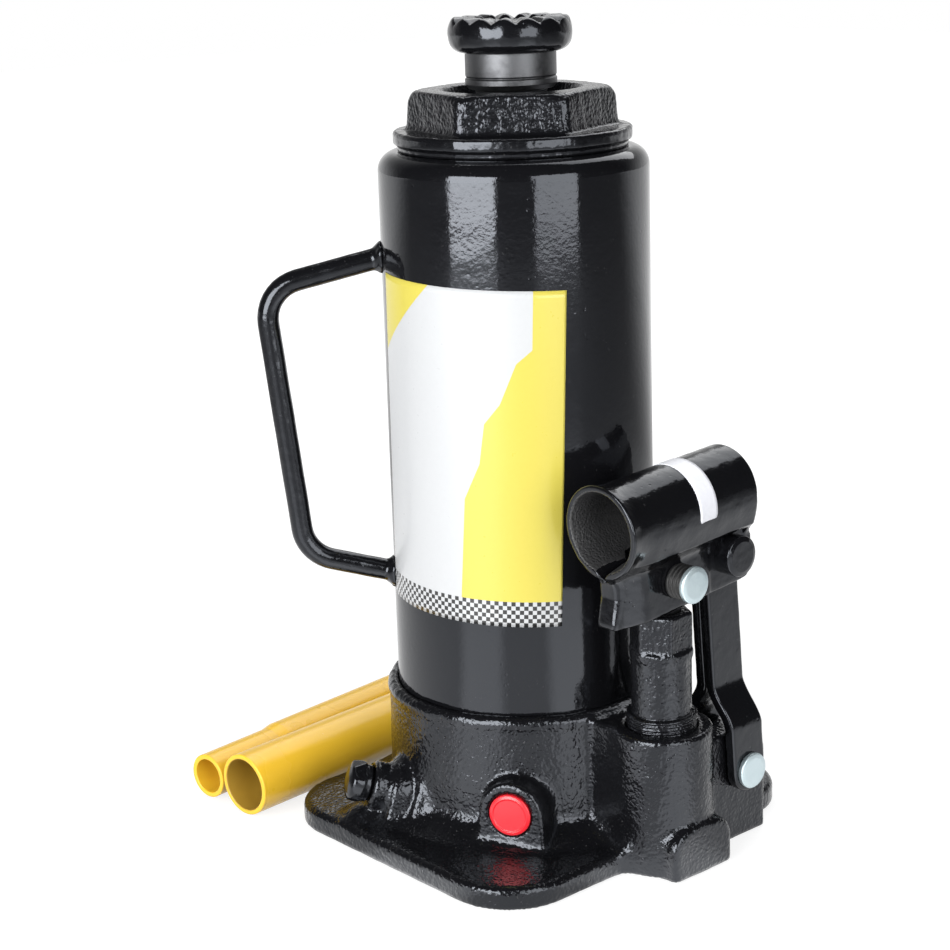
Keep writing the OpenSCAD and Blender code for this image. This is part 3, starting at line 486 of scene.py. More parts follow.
def castField(x, y, z):
    rho = distance(x, y)
    qx = np.abs(x - (plate["front"] - plate["back"]) / 2) - (plate["front"] + plate["back"]) / 2
    qy = np.abs(y) - plate["half"]
    r = plate["cornerRound"]
    outline = distance(np.maximum(qx + r, 0), np.maximum(qy + r, 0))
    outline = outline + np.minimum(np.maximum(qx + r, qy + r), 0) - r
    rise = np.clip((51 - rho) / 9, 0, 1)
    top = z - plate["edgeThick"] - plate["dome"] * rise * rise * (3 - 2 * rise)
    shape = meet(outline, top, plate["topEdge"] + 0.8)
    column = drumField(rho, z, turret["radius"] + 0.02 * np.maximum(30 - z, 0), -9, turret["top"], 0.9)
    bead = distance(rho - turret["beadAt"], z - turret["top"]) - turret["bead"]
    bead = bead + 0.35 * lumps(x, y, z, 7, 3)
    column = melt(column, bead, 1.2)
    px = x - pump["x"]
    pumpRho = distance(px, y)
    boss = drumField(pumpRho, z, pump["boss"], -9, turret["top"], 1.2)
    bridgeEnd = (pump["x"], pump["bridge"], turret["top"])
    bridge = boxField((x, y, z), (10, -pump["bridge"], -9), bridgeEnd, 1.2)
    boss = melt(boss, bridge, 1.6)
    toeMid = (pump["toeSide"][0] + pump["toeSide"][1]) / 2
    toeHalf = (pump["toeSide"][1] - pump["toeSide"][0]) / 2
    toeAcross = np.maximum(np.abs(y - toeMid) - toeHalf + pump["toeRound"], 0)
    toeOver = np.maximum(z - pump["toeTop"] + pump["toeRound"], 0)
    toe = distance(toeAcross, toeOver) - pump["toeRound"]
    toe = meet(toe, np.abs(x - pump["x"] + 2) - (pump["toeFace"] - pump["x"] + 2), 1.8)
    boss = melt(boss, toe, 1.6)
    ly, lz = y - (lug["back"] - lug["round"]), z - (lug["top"] - lug["round"])
    web = np.where((ly > 0) & (lz > 0), distance(ly, lz) - lug["round"],
                   np.maximum(ly, lz) - lug["round"])
    web = np.maximum(web, -y)
    web = meet(web, np.abs(px) - lug["half"], 1.4)
    boss = melt(boss, web, 2.2)
    reliefBoss, reliefOut, reliefAcross = valveField(x, y, z, relief)
    releaseBoss, releaseOut, releaseAcross = valveField(x, y, z, release)
    column = melt(column, boss, 2.6)
    shape = melt(shape, column, 5)
    shape = melt(shape, meet(reliefBoss, z - turret["bossTop"], 2), 1.8)
    spout = drumField(releaseAcross, releaseOut, release["spout"], -4, release["spoutEnd"], 1.0)
    releaseBoss = melt(meet(releaseBoss, z - turret["bossTop"], 2), spout, 1.6)
    shape = melt(shape, releaseBoss, 3.4)
    moundX, moundY = x - release["mound"][0], y - release["mound"][1]
    mound = np.sqrt(moundX ** 2 + moundY ** 2 + (1.5 * z - 7.5) ** 2)
    shape = melt(shape, mound - release["moundSize"], 3)
    shape = shape + 0.10 * lumps(x, y, z, 9, 1) + 0.07 * lumps(x, y, z, 3.2, 2)
    shape = carve(shape, drumField(rho, z, turret["seatRadius"], turret["seat"], 80, 0.2), 0.4)
    shape = carve(shape, drumField(rho, z, turret["well"], turret["wellFloor"], 80, 0.2), 0.4)
    shape = carve(shape, drumField(pumpRho, z, pump["bore"], pump["floor"], 80, 0.2), 0.8)
    shape = carve(shape, drumField(reliefAcross, reliefOut, relief["bore"], -8, 4, 0.2), 0.8)
    shape = carve(shape, drumField(releaseAcross, releaseOut, release["bore"], -10, 12, 0.2), 0.6)
    pinHole = distance(y - lug["pin"][0], z - lug["pin"][1]) - lug["hole"]
    shape = np.maximum(shape, -np.maximum(pinHole, np.abs(px) - 12))
    return meet(shape, 0.02 - z, 0.9)


baseLow, baseHigh = corners("base_casting")


def castInBox(x, y, z):
    return np.maximum(castField(x, y, z), np.maximum(x - baseHigh[0], np.abs(y) - baseHigh[1]))


addField("castBase", castInBox, (baseLow, baseHigh), (0.8, 1.6), "base", "cast_black", castPaint,
         "base_casting")

# ---- reservoir tube ----

tubeLow, tubeHigh = corners("reservoir_tube")
tubeR, tubeTop = tubeHigh[0], tubeHigh[2]
reservoir = {"wall": 3, "shoulder": 8.5, "hole": 26.8, "sides": 256}
innerR, innerTop = tubeR - reservoir["wall"], tubeTop - reservoir["wall"]
line = roundLine([(tubeR, tubeLow[2], 0.3), (tubeR, tubeTop, reservoir["shoulder"]),
                  (reservoir["hole"], tubeTop, 0.5), (reservoir["hole"], innerTop, 0.5),
                  (innerR, innerTop, 5.5), (innerR, tubeLow[2], 0.3)], arc=12)
points, faces = spin(line, reservoir["sides"])
addPiece("tubeShell", points, faces, "base", tubePaint, ["reservoir_tube"])

# ---- top nut ----

nutLow, nutHigh = corners("top_nut")
nut = {"flange": 32.9, "neck": 31.8, "hexFlat": 25.65, "turn": -12.3, "bore": 18.1, "skirt": 25.6}
flangeZ = tubeTop
hexZ = nutHigh[2] - 10.7


def nutField(x, y, z):
    rho = distance(x, y)
    flange = drumField(rho, z, nut["flange"], flangeZ + 1.8, hexZ, 0.9)
    flange = melt(flange, drumField(rho, z, nut["neck"], flangeZ, flangeZ + 3, 0.5), 0.6)
    flats = hexField(x, y, nut["hexFlat"], nut["turn"], 1.6)
    cap = (rho - 26.4 + (z - nutHigh[2]) * 1.3) / 1.64
    hexagon = meet(meet(flats + 0.08 * (z - hexZ), cap, 1.4), z - nutHigh[2], 0.9)
    hexagon = np.maximum(hexagon, flangeZ + 3 - z)
    shape = melt(flange, hexagon, 1.6) + 0.10 * lumps(x, y, z, 5, 5) + 0.05 * lumps(x, y, z, 1.8, 6)
    skirt = drumField(rho, z, nut["skirt"], nutLow[2], flangeZ + 3, 0.3)
    shape = np.minimum(shape, skirt)
    shape = carve(shape, rho - nut["bore"] - 0.9 * np.clip((z - nutHigh[2] + 3.2) / 3.2, 0, 1), 0.5)
    return np.maximum(shape, -drumField(rho, z, 24.1, nutLow[2] - 9, flangeZ - 3.2, 0.2))


def belowHex(x, y, z):
    return z < hexZ + 0.4


nutBox = np.array([-33, -33, nutLow[2]]), np.array([33, 33, nutHigh[2]])
addBoxed("topNut", nutField, nutBox, (0.5, 1.0), "base", "gloss_black", nutPaint, "top_nut",
         lining=(belowHex, forgedPaint))

# ---- ram, screw and saddle ----

ramHigh = corners("ram")[1]
line = roundLine([(18, 27.5, 0.4), (18, ramHigh[2], 0.6), (11.3, ramHigh[2], 0.6),
                  (11.3, ramHigh[2] - 28, 0.3), (13.2, ramHigh[2] - 28, 0.2), (13.2, 60, 0.4),
                  (3, 60, 0.4), (3, 27.5, 0.2)])
points, faces = spin(line, 128)
addPiece("ramTube", points, faces, "ram", ramSteel)

screwLow, screwHigh = corners("extension_screw")
thread = {"crest": 11.2, "root": 9.9, "pitch": 4.0, "low": screwLow[2] + 6, "high": ramHigh[2] - 1.5}
shank = {"radius": 12.6, "low": nutHigh[2] + 0.4, "high": screwHigh[2], "neck": 9.8}


def threadedBar(sides, rowsPerTurn):
    rows = np.arange(thread["low"], thread["high"], thread["pitch"] / rowsPerTurn)
    turn = np.linspace(0, 2 * math.pi, sides, endpoint=False)
    z, a = np.meshgrid(rows, turn, indexing="ij")
    phase = ((z - thread["low"]) / thread["pitch"] - a / (2 * math.pi)) % 1
    tooth = np.clip(1.25 - np.abs(phase - 0.5) * 4, 0, 1)
    fade = np.clip(np.minimum(z - thread["low"], thread["high"] - z) / 2, 0, 1)
    r = thread["root"] + (thread["crest"] - thread["root"]) * tooth * fade
    points = np.stack([r * np.cos(a), r * np.sin(a), z], -1).reshape(-1, 3)
    faces = []
    for i in range(len(rows) - 1):
        here, above = i * sides, (i + 1) * sides
        for j in range(sides):
            k = (j + 1) % sides
            faces.append((here + j, here + k, above + k, above + j))
    faces.append(list(range(sides))[::-1])
    faces.append([(len(rows) - 1) * sides + j for j in range(sides)])
    return points, faces


points, faces = threadedBar(96, 16)
foot, wide = shank["low"], shank["radius"]
line = roundLine([(0.01, foot - 8, 0), (shank["neck"], foot - 8, 0.3), (shank["neck"], foot - 0.8, 0.5),
                  (wide - 0.9, foot - 0.4, 0.4), (wide, foot + 0.8, 0.4), (wide, foot + 2.2, 0.2),
                  (wide - 0.45, foot + 2.6, 0.2), (wide - 0.1, foot + 3.1, 0.2),
                  (wide - 0.1, shank["high"], 0.3), (0.01, shank["high"], 0)], closed=False)
morePoints, moreFaces = spin(line, 128, closed=False)
tip, join = screwLow[2], thread["low"] + 0.5
tailLine = roundLine([(0.01, tip, 0), (8, tip, 0.3), (8, tip + 1.4, 0.2), (6, tip + 1.5, 0.1),
                      (6, join, 0.1), (0.01, join, 0)], closed=False)
tailPoints, tailFaces = spin(tailLine, 64, closed=False)
allFaces = list(faces)
for extra, offset in ((moreFaces, len(points)), (tailFaces, len(points) + len(morePoints))):
    allFaces += [[i + offset for i in f] for f in extra]
addPiece("screwBar", np.concatenate([points, morePoints, tailPoints]), allFaces, "screw", barSteel,
         ["extension_screw"])

saddleLow, saddleHigh = corners("saddle")
saddle = {"radius": 17, "teeth": 15, "wave": 1.5, "dish": 9.3, "crown": 1.0}


def saddleField(x, y, z):
    rho = distance(x, y)
    a = np.arctan2(y, x)
    h = z - saddleLow[2]
    height = saddleHigh[2] - saddleLow[2]
    lobe = 1 - np.abs(np.cos(a * saddle["teeth"] / 2))
    side = saddle["radius"] - 0.062 * (h - 5.2) ** 2
    side = side - 0.3 * lobe * np.clip((h - 6.5) / 3, 0, 1)
    top = h - height + saddle["crown"] + saddle["wave"] * lobe
    shape = meet(meet(rho - side, top, 0.9), -h, 2.8)
    shape = carve(shape, drumField(rho, h, saddle["dish"], height - 2.4, height + 9, 0.8), 1.0)
    shape = carve(shape, drumField(rho, h, shank["radius"] + 0.1, -5, 1.8, 0.1), 0.3)
    return shape + 0.05 * lumps(x, y, z, 4, 8)


saddleBox = np.array([-saddle["radius"], -saddle["radius"], saddleLow[2]]), saddleHigh
addBoxed("saddleHead", saddleField, saddleBox, (0.36, 0.8), "screw", "gloss_black", forgedPaint, "saddle")

# ---- pump ----

pumpLow, pumpHigh = corners("pump_cylinder")
barrel = {"thread": 9.8, "body": 8.3, "hexFlat": 7.65, "hexZ": 60, "turn": -28, "bore": 5.56, "pitch": 1.0,
          "threadTop": 44.2}


def barrelField(x, y, z):
    px = x - pump["x"]
    rho = distance(px, y)
    a = np.arctan2(y, px) / (2 * math.pi)
    wave = np.abs(((z / barrel["pitch"] - a) % 1) - 0.5) * 2
    screwed = drumField(rho, z, barrel["thread"], pumpLow[2], barrel["threadTop"], 0.4)
    screwed = screwed + 0.45 * wave * (z > turret["top"] - 2)
    body = drumField(rho, z, barrel["body"], pumpLow[2], barrel["hexZ"] + 2, 0.3)
    flats = hexField(px, y, barrel["hexFlat"], barrel["turn"], 0.7)
    cone = (rho - barrel["body"] - (z - barrel["hexZ"])) / 1.41
    middle, tall = (pumpHigh[2] + barrel["hexZ"]) / 2, pumpHigh[2] - barrel["hexZ"]
    hexagon = meet(meet(flats, cone, 1.2), np.abs(z - middle) - tall / 2, 0.9)
    shape = np.minimum(screwed, melt(body, hexagon, 1.6)) + 0.06 * lumps(x, y, z, 3, 12)
    return np.maximum(shape, barrel["bore"] - rho)


addBoxed("pumpBarrel", barrelField, (pumpLow, pumpHigh), (0.3, 0.7), "base", "gloss_black", castPaint,
         "pump_cylinder")

# ---- lever socket ----

socket = {"pin": (54.6, 20.5, 85.6), "tilt": 3.6, "rise": 16.7, "bore": 9.8, "wall": 1.9, "mouth": -42.2,
          "end": 6.8, "flare": 1.2, "flareLen": 9, "earHalf": 6.2, "low": -10.4, "earEnd": 9.5,
          "front": (-20.6, -1.7), "noseHalf": 3.7, "slit": 0.55, "slitOpen": 3.35}
pinHoleR = 3.46
tiltTurn = math.cos(math.radians(socket["tilt"])), math.sin(math.radians(socket["tilt"]))


def socketPoint(x, y, z):  # into the socket's own tilted frame at its hinge pin
    c, s = tiltTurn
    dy, dz = y - socket["pin"][1], z - socket["pin"][2]
    return x - socket["pin"][0], dy * c + dz * s, -dy * s + dz * c


def fromSocket(point):
    c, s = tiltTurn
    x, y, z = socket["pin"]
    return x + point[0], y + point[1] * c - point[2] * s, z + point[1] * s + point[2] * c


def mouthFlare(v):  # the tube widens towards its mouth
    mouth = np.clip((socket["mouth"] + socket["flareLen"] - v) / socket["flareLen"], 0, 1)
    return socket["flare"] * mouth * mouth


def socketField(x, y, z):
    u, v, w = socketPoint(x, y, z)
    mouth, rise = socket["mouth"], socket["rise"]
    up = w - rise
    rho = distance(u, up)
    spread = mouthFlare(v)
    tube = drumField(rho - spread, v, socket["bore"] + socket["wall"], mouth, socket["end"], 0.7)
    nose = np.clip((v - mouth - 1) / 10, 0, 1)
    half = socket["noseHalf"] + (socket["earHalf"] - socket["noseHalf"]) * nose * nose * (3 - 2 * nose)
    neck = np.clip((w - 2.5) / 5, 0, 1)  # the sheet runs from the tube's sides into the ears
    half = half + 3.2 * neck * neck
    drop = socket["low"] + 0.03 * (v + 30)
    ears = meet(np.abs(u) - half, -(w - drop), 1.2)
    ears = meet(ears, w - rise + 4, 1.0)
    ears = meet(ears, -(v - mouth - 1.6 + 0.25 * np.clip(-w - 2, 0, 9)), 2.2)
    ends = v - socket["end"] - (socket["earEnd"] - socket["end"]) * np.clip((7 - w) / 4, 0, 1)
    corner = distance(np.maximum(v - 2.5, 0), np.maximum(-w - 3.5, 0)) - 7
    ears = meet(ears, np.maximum(ends, np.where((v > 2.5) & (w < -3.5), corner, -9)), 1.0)
    shape = melt(tube, ears, 3.5)
    step = boxField((u - 6.9, v - 1, w + 0.5), (-0.9, -9, -12), (9, 5.3, 6.6), 1.0)
    shape = carve(shape, step, 0.8)
    shape = shape + 0.07 * lumps(x, y, z, 6, 15)
    point = np.abs(u) - 0.5 - 0.55 * (w - 3.4) * (1 - np.clip((v - mouth - 1) / 8, 0, 1))
    point = np.maximum(point, np.maximum(w - rise, 3.4 - w))
    shape = carve(shape, melt(rho - spread - socket["bore"], point, 1.5), 0.5)
    slit = np.abs(u) - socket["slit"] - socket["slitOpen"] * np.clip((v - mouth - 9.5) / 3, 0, 1)
    slit = np.maximum(slit, w - rise + socket["bore"] - 0.6)
    slit = np.maximum(slit, -(w - 2.6 + 40 * np.clip((v - mouth - 3) / 2, 0, 1)))
    shape = carve(shape, slit, 0.5)
    frontPin = distance(v - socket["front"][0], w - socket["front"][1]) - pinHoleR
    rearPin = distance(v, w) - pinHoleR
    return np.maximum(np.maximum(shape, -frontPin), -rearPin)


def insideSocket(x, y, z):
    u, v, w = socketPoint(x, y, z)
    return np.hypot(u, w - socket["rise"]) < socket["bore"] + mouthFlare(v) + 0.3


addBoxed("leverSocket", socketField, corners("lever_socket"), (0.36, 0.8), "socket", "gloss_black",
         forgedPaint, "lever_socket", lining=(insideSocket, roughPaint))

# blank sticker wrapped over the socket tube
sticker = {"start": -18, "turn": 138, "low": -16.2, "wide": 6.6, "thick": 0.16, "roundEnd": 2.2,
           "grid": (8, 64)}


def addSticker(material):
    points = []
    across, around = sticker["grid"]
    for i in range(around + 1):
        s = i / around
        inset = sticker["roundEnd"] * (1 - math.sqrt(1 - max(0, 1 - 12 * min(s, 1 - s)) ** 2))
        for j in range(across + 1):
            v = sticker["low"] + inset + (sticker["wide"] - 2 * inset) * j / across
            a = math.radians(sticker["start"] + sticker["turn"] * s)
            r = socket["bore"] + socket["wall"] + sticker["thick"]
            points.append(fromSocket((r * math.cos(a), v, socket["rise"] + r * math.sin(a))))
    faces = [(a, d, c, b) for a, b, c, d in gridFaces(around, across)]
    piece = addPiece("stickerStrip", points, faces, "socket", material, ["socket_sticker"],
                     soften=False)
    thick = piece.modifiers.new("thickness", "SOLIDIFY")
    thick.thickness = sticker["thick"] * mm
    return piece


# ---- link plates ----

link = {"gap": 0.1, "splay": 6.2, "thick": 3.3, "wide": 12.6, "joggle": (34, 47), "low": (25.7, 21.4),
        "high": (20.5, 85.6)}


def linkField(side):
    def field(x, y, z):
        out = (x - pump["x"]) * side
        bend = np.clip((link["joggle"][1] - z) / (link["joggle"][1] - link["joggle"][0]), 0, 1)
        bend = bend * bend * (3 - 2 * bend)
        face = out - link["gap"] - link["splay"] * bend - link["thick"] / 2
        face = np.abs(face) * (1 - 0.16 * np.sin(math.pi * bend)) - link["thick"] / 2
        (lowY, lowZ), (highY, highZ) = link["low"], link["high"]
        ay, az = highY - lowY, highZ - lowZ
        t = np.clip(((y - lowY) * ay + (z - lowZ) * az) / (ay * ay + az * az), 0, 1)
        across = distance(y - lowY - ay * t, z - lowZ - az * t)
        shape = meet(across - link["wide"] / 2, face, 1.0) + 0.06 * lumps(x, y, z, 7, 21)
        for end in (link["low"], link["high"]):
            hole = distance(y - end[0], z - end[1]) - pinHoleR
            shape = np.maximum(shape, -hole)
        return shape
    return field


for name, side in (("right", 1), ("left", -1)):
    node = "link_plate_" + name
    addBoxed("linkPlate" + name.title(), linkField(side), corners(node), (0.4, 0.8), "link", "gloss_black",
             forgedPaint, node)

# ---- pins ----

pinHeads = {"zinc": 5.1, "zincThick": 1.6, "black": 5.7, "blackThick": 5.2, "shank": 3.4,
            "bush": 4.9, "bushLong": 5.3}


def addPin(name, at, shankFrom, head, body, material, node):
    start, radius, thick, dome = head
    shaft = pinHeads["shank"]
    line = roundLine([(0.01, shankFrom, 0), (shaft, shankFrom, 0.6), (shaft, start, 0.1),
                      (radius, start, 0.3), (radius, start + thick - dome, 0.45),
                      (radius - 1.4, start + thick, 0.8), (0.01, start + thick, 0)], closed=False)
    points, faces = spin(line, 64, closed=False)
    return addPiece(name, aim(points, at, (1, 0, 0)), faces, body, material, [node])


lugAt = (pump["x"], link["low"][0], link["low"][1])
zincHead = (pinHeads["zinc"], pinHeads["zincThick"], 0.25)
addPin("lugPin", lugAt, -12.2, (9.6, *zincHead), "link", zincPlate, "lug_pin_zinc")
frontAt = fromSocket((0, socket["front"][0], socket["front"][1]))
earHalf = socket["earHalf"]
bushEnd = earHalf + pinHeads["bushLong"]
addPin("frontPin", frontAt, -earHalf - 2.6, (bushEnd, *zincHead), "socket", zincPlate,
       "front_pin_zinc")
addPin("rearPin", fromSocket((0, 0, 0)), -earHalf - 2.6,
       (earHalf - 0.8, pinHeads["black"], pinHeads["blackThick"] + 0.8, 0.5),
       "socket", forgedPaint, "rear_pin_black")

bush = pinHeads["bush"]
ribs = [(3.5, earHalf, 0.2), (bush, earHalf, 0.4)]
for k in range(3):
    z = earHalf + 0.9 + 1.35 * k
    ribs += [(bush, z, 0.3), (bush - 0.9, z + 0.5, 0.3), (bush, z + 1.0, 0.3)]
ribs += [(bush, bushEnd, 0.4), (3.5, bushEnd, 0.2)]
points, faces = spin(roundLine(ribs, arc=3), 64)
addPiece("pinBush", aim(points, frontAt, (1, 0, 0)), faces, "socket", rubberBlack,
         ["front_pin_bush"])

# ---- valves ----

line = roundLine([(0.01, -1.6, 0), (6.0, -1.6, 0.2), (6.0, 0.15, 0.55), (4.9, 0.6, 0.3), (4.6, 0.25, 0.3),
                  (0.01, 0.3, 0)], closed=False)
points, faces = spin(line, 96, closed=False)
addPiece("reliefCap", aim(points, relief["at"], valveAxes(relief)[0]), faces, "base",
         redPlastic, ["relief_cap"])


def valveStemField(x, y, z):
    w, u, v = valvePoint(x, y, z, release)
    rho = distance(u, v)
    stem = drumField(rho, w, 4.45, -9, 10, 0.5)
    collar = drumField(rho, w, 5.4, 7.3, 8.9, 0.5)
    crown = distance(rho, w - 3.4) - 10.9
    head = meet(drumField(rho, w, 5.9, 8.9, 14.2, 0.9), crown, 0.8)
    head = meet(head, np.abs(u * 0.5 + v * 0.866) - 5.0, 0.6)
    return melt(melt(stem, head, 0.8), collar, 0.8) + 0.07 * lumps(x, y, z, 4, 31)


addBoxed("releaseStem", valveStemField, corners("release_valve"), (0.3, 0.6), "release_valve", "gloss_black",
         forgedPaint, "release_valve")

# ---- carry handle ----

handle = {"rod": 3.05, "turn": -127, "bend": 11, "weld": 4.7,
          "line": [(36.5, 165.7), (70.6, 157.8), (62.6, 80.8), (36.5, 74.0)]}
handlePath = roundLine([(r, z, handle["bend"]) for r, z in handle["line"]], closed=False, arc=9)


def handleField(x, y, z):
    a = math.radians(handle["turn"])
    u = x * math.cos(a) + y * math.sin(a)
    n = -x * math.sin(a) + y * math.cos(a)
    nearest = None
    for start, end in zip(handlePath[:-1], handlePath[1:]):
        way = end - start
        t = np.clip(((u - start[0]) * way[0] + (z - start[1]) * way[1]) / (way @ way), 0, 1)
        d = (u - start[0] - way[0] * t) ** 2 + (z - start[1] - way[1] * t) ** 2
        nearest = d if nearest is None else np.minimum(nearest, d)
    shape = np.sqrt(nearest + n * n) - handle["rod"] + 0.07 * lumps(x, y, z, 6, 41)
    for r, height in (handlePath[0], handlePath[-1]):
        lift = height - (37.5 - r) * 0.24 * (1 if height > 120 else -1)
        weld = np.sqrt(((u - 36.6) * 1.5) ** 2 + (n * 0.9) ** 2 + (z - lift) ** 2) - handle["weld"]
        shape = melt(shape, weld + 0.5 * lumps(x, y, z, 4, 43), 1.6)
    return np.maximum(shape, tubeR - 0.1 - distance(x, y))


addBoxed("carryHandle", handleField, corners("carry_handle"), (0.55, 1.2), "base", "gloss_black",
         forgedPaint, "carry_handle")

# ---- levers ----

levers = {"wide": {"node": "wide_lever", "at": (-53.7, -65.6, 9.3), "turn": 5.5, "radius": 9.3, "wall": 1.5,
                   "inside": dullPaint, "step": 0},
          "slim": {"node": "slim_lever", "at": (-70.742, -66.9, 7.4), "turn": 7.5, "radius": 7.4, "wall": 1.5,
                   "inside": bareTube, "step": 1},
          "length": 196, "reduced": 0.7, "reducedLong": 26}


def addLever(name):
    lever = levers[name]
    r, wall, length = lever["radius"], lever["wall"], levers["length"]
    if name == "slim":
        small = r - levers["reduced"]
        neck = levers["reducedLong"]
        line = roundLine([(small, 0, 0.35), (small, neck, 1.5), (r, neck + 4, 1.5), (r, length, 0.35),
                          (small - wall, length, 0.35), (small - wall, 0, 0.35)])
    else:
        line = roundLine([(r, 0, 0.4), (r, length, 0.4), (r - wall, length, 0.35), (r - wall, 0, 0.35)])
    points, faces = spin(line, 96)
    a = math.radians(lever["turn"])
    points = aim(points, lever["at"], (-math.sin(a), math.cos(a), 0))
    piece = addPiece(name + "Lever", points, faces, name + "_lever", yellowPaint,
                     [lever["node"]])
    piece.data.materials.append(lever["inside"])
    count = len(line)
    inner = line[:, 0] < r - lever["step"] - wall * 0.8
    lined = [int(inner[k] and inner[(k + 1) % count]) for _ in range(96) for k in range(count)]
    piece.data.polygons.foreach_set("material_index", lined)
    return piece


addLever("wide")
addLever("slim")

# ---- label ----

label = {"start": -119.5, "end": -21.9, "low": 67.5, "high": 162.5, "lift": 0.18, "skew": 2.2, "lean": 5.0,
         "columns": 96, "rows": 48}


def addLabel(material):
    columns, rows = label["columns"], label["rows"]
    wide = label["end"] - label["start"] - label["lean"]
    tall = label["high"] - label["low"] - label["skew"]
    r = tubeR + label["lift"]
    points, uvs = [], []
    for i in range(columns + 1):
        s = i / columns
        for j in range(rows + 1):
            t = j / rows
            lean = label["lean"] * (1 - t)
            a = math.radians(label["start"] + wide * s + label["lean"] - lean)
            z = label["low"] + label["skew"] * (1 - s) + tall * t
            points.append((r * math.cos(a), r * math.sin(a), z))
            uvs.append((s, t))
    piece = addPiece("labelSheet", points, gridFaces(columns, rows), "base", material,
                     ["label"], soften=False)
    layer = piece.data.uv_layers.new(name="UVMap")
    for loop in piece.data.loops:
        layer.data[loop.index].uv = uvs[loop.vertex_index]
    piece.modifiers.new("thickness", "SOLIDIFY").thickness = label["lift"] * 0.8 * mm
    return piece


def makeLabelPaper():
    material, tree, shader = newMaterial("labelPaper")
    shader.inputs["Coat Weight"].default_value = 0.25
    place = addNode(tree, "ShaderNodeTexCoord")
    split = addNode(tree, "ShaderNodeSeparateXYZ", {0: place.outputs["UV"]}).outputs
    s, t = split[0], split[1]
    # edge of the yellow field, stepping in towards the left on its way down
    steps = ((1.0, 0.85), (0.83, 0.85), (0.79, 0.78), (0.67, 0.71), (0.61, 0.64), (0.49, 0.62),
             (0.38, 0.55), (0.0, 0.53))
    curve = tree.nodes.new("ShaderNodeFloatCurve")
    tree.links.new(t, curve.inputs["Value"])
    points = curve.mapping.curves[0].points
    for k, (height, edge) in enumerate(sorted(steps)):
        point = points[k] if k < 2 else points.new(height, edge)
        point.location = (height, edge)
        point.handle_type = "VECTOR"
    curve.mapping.update()
    field = mathNode(tree, "GREATER_THAN", s, curve.outputs[0])
    slope = mathNode(tree, "MULTIPLY_ADD", t, -1.0, 1.0)  # yellow triangle in the top left corner
    slope = mathNode(tree, "MULTIPLY_ADD", slope, 1.55, s)
    corner = mathNode(tree, "LESS_THAN", slope, 0.36)
    yellow = mathNode(tree, "MAXIMUM", field, corner)
    grain = noiseNode(tree, place.outputs["Object"], 700.0, 3.0)
    white = mixColour(tree, grain, (0.495, 0.505, 0.515, 1), (0.47, 0.48, 0.49, 1))
    gold = mixColour(tree, grain, (0.55, 0.475, 0.08, 1), (0.53, 0.455, 0.072, 1))
    colour = mixColour(tree, yellow, white, gold)
    scaled = vectorNode(tree, "MULTIPLY", place.outputs["UV"], (52.0, 78.0, 1.0))
    check = addNode(tree, "ShaderNodeTexChecker", {"Vector": scaled, "Scale": 1.0,
                    "Color1": (0.02, 0.02, 0.02, 1), "Color2": (0.48, 0.49, 0.5, 1)})
    strip = mathNode(tree, "LESS_THAN", t, 0.077)
    colour = mixColour(tree, strip, colour, check.outputs["Color"])
    tree.links.new(colour, shader.inputs["Base Color"])
    sheen = mathNode(tree, "MULTIPLY_ADD", grain, 0.12, 0.24)
    tree.links.new(sheen, shader.inputs["Roughness"])
    return material


def makeStickerPaper():
    material, tree, shader = newMaterial("stickerPaper")
    place = addNode(tree, "ShaderNodeTexCoord").outputs["Object"]
    grain = noiseNode(tree, place, 900.0, 3.0)
    colour = mixColour(tree, grain, (0.78, 0.79, 0.83, 1), (0.68, 0.69, 0.74, 1))
    tree.links.new(colour, shader.inputs["Base Color"])
    tree.links.new(mathNode(tree, "MULTIPLY_ADD", grain, 0.2, 0.3), shader.inputs["Roughness"])
    return material


labelPaper = makeLabelPaper()
stickerPaper = makeStickerPaper()
addLabel(labelPaper)
addSticker(stickerPaper)
print("outer pieces made")

# ---- CAD nodes that show as they are ----

keptFinish = (
    (rubberBlack, ("tube_seal", "filler_plug", "nut_seal", "ram_wiper", "plunger_seal", "release_seal")),
    (turnedSteel, ("pressure_cylinder", "piston_washer", "piston_nut", "plunger", "screw_collar",
                   "relief_adjuster", "relief_spring")),
    (springSteel, ("ram_stop_ring", "lug_pin_clip", "socket_pin_clips")),
    (ballSteel, ("suction_ball", "discharge_ball", "relief_ball", "release_ball")),
    (copperSheet, ("cylinder_gasket", "pump_washer")),
    (cupPlastic, ("piston_cup",)),
)
for material, names in keptFinish:
    for name in names:
        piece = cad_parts[name]
        piece.data.materials.clear()
        piece.data.materials.append(material)
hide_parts("ram")

# ---- floor, light and camera ----

camera = {"at": (434.525, -395.443, 258.324), "turn": 48.995, "drop": 14.963, "roll": 1.841, "lens": 80.46,
          "behind": (-0.74, 0.673, 0.0)}
studio = {"floor": 6.0, "world": 0.35, "nearGlow": 0.8, "mirrorGlow": 0.8, "lampLevel": 0.2,
          "leftPanel": (-78, 0.34, 1.0, (0.74, 0.66), 16.5),
          "rightPanel": (-7.5, 0.34, 1.0, (0.68, 0.66), 6.4),
          "topPanel": (118, 1.05, 0.75, (1.1, 1.1), 8.5)}


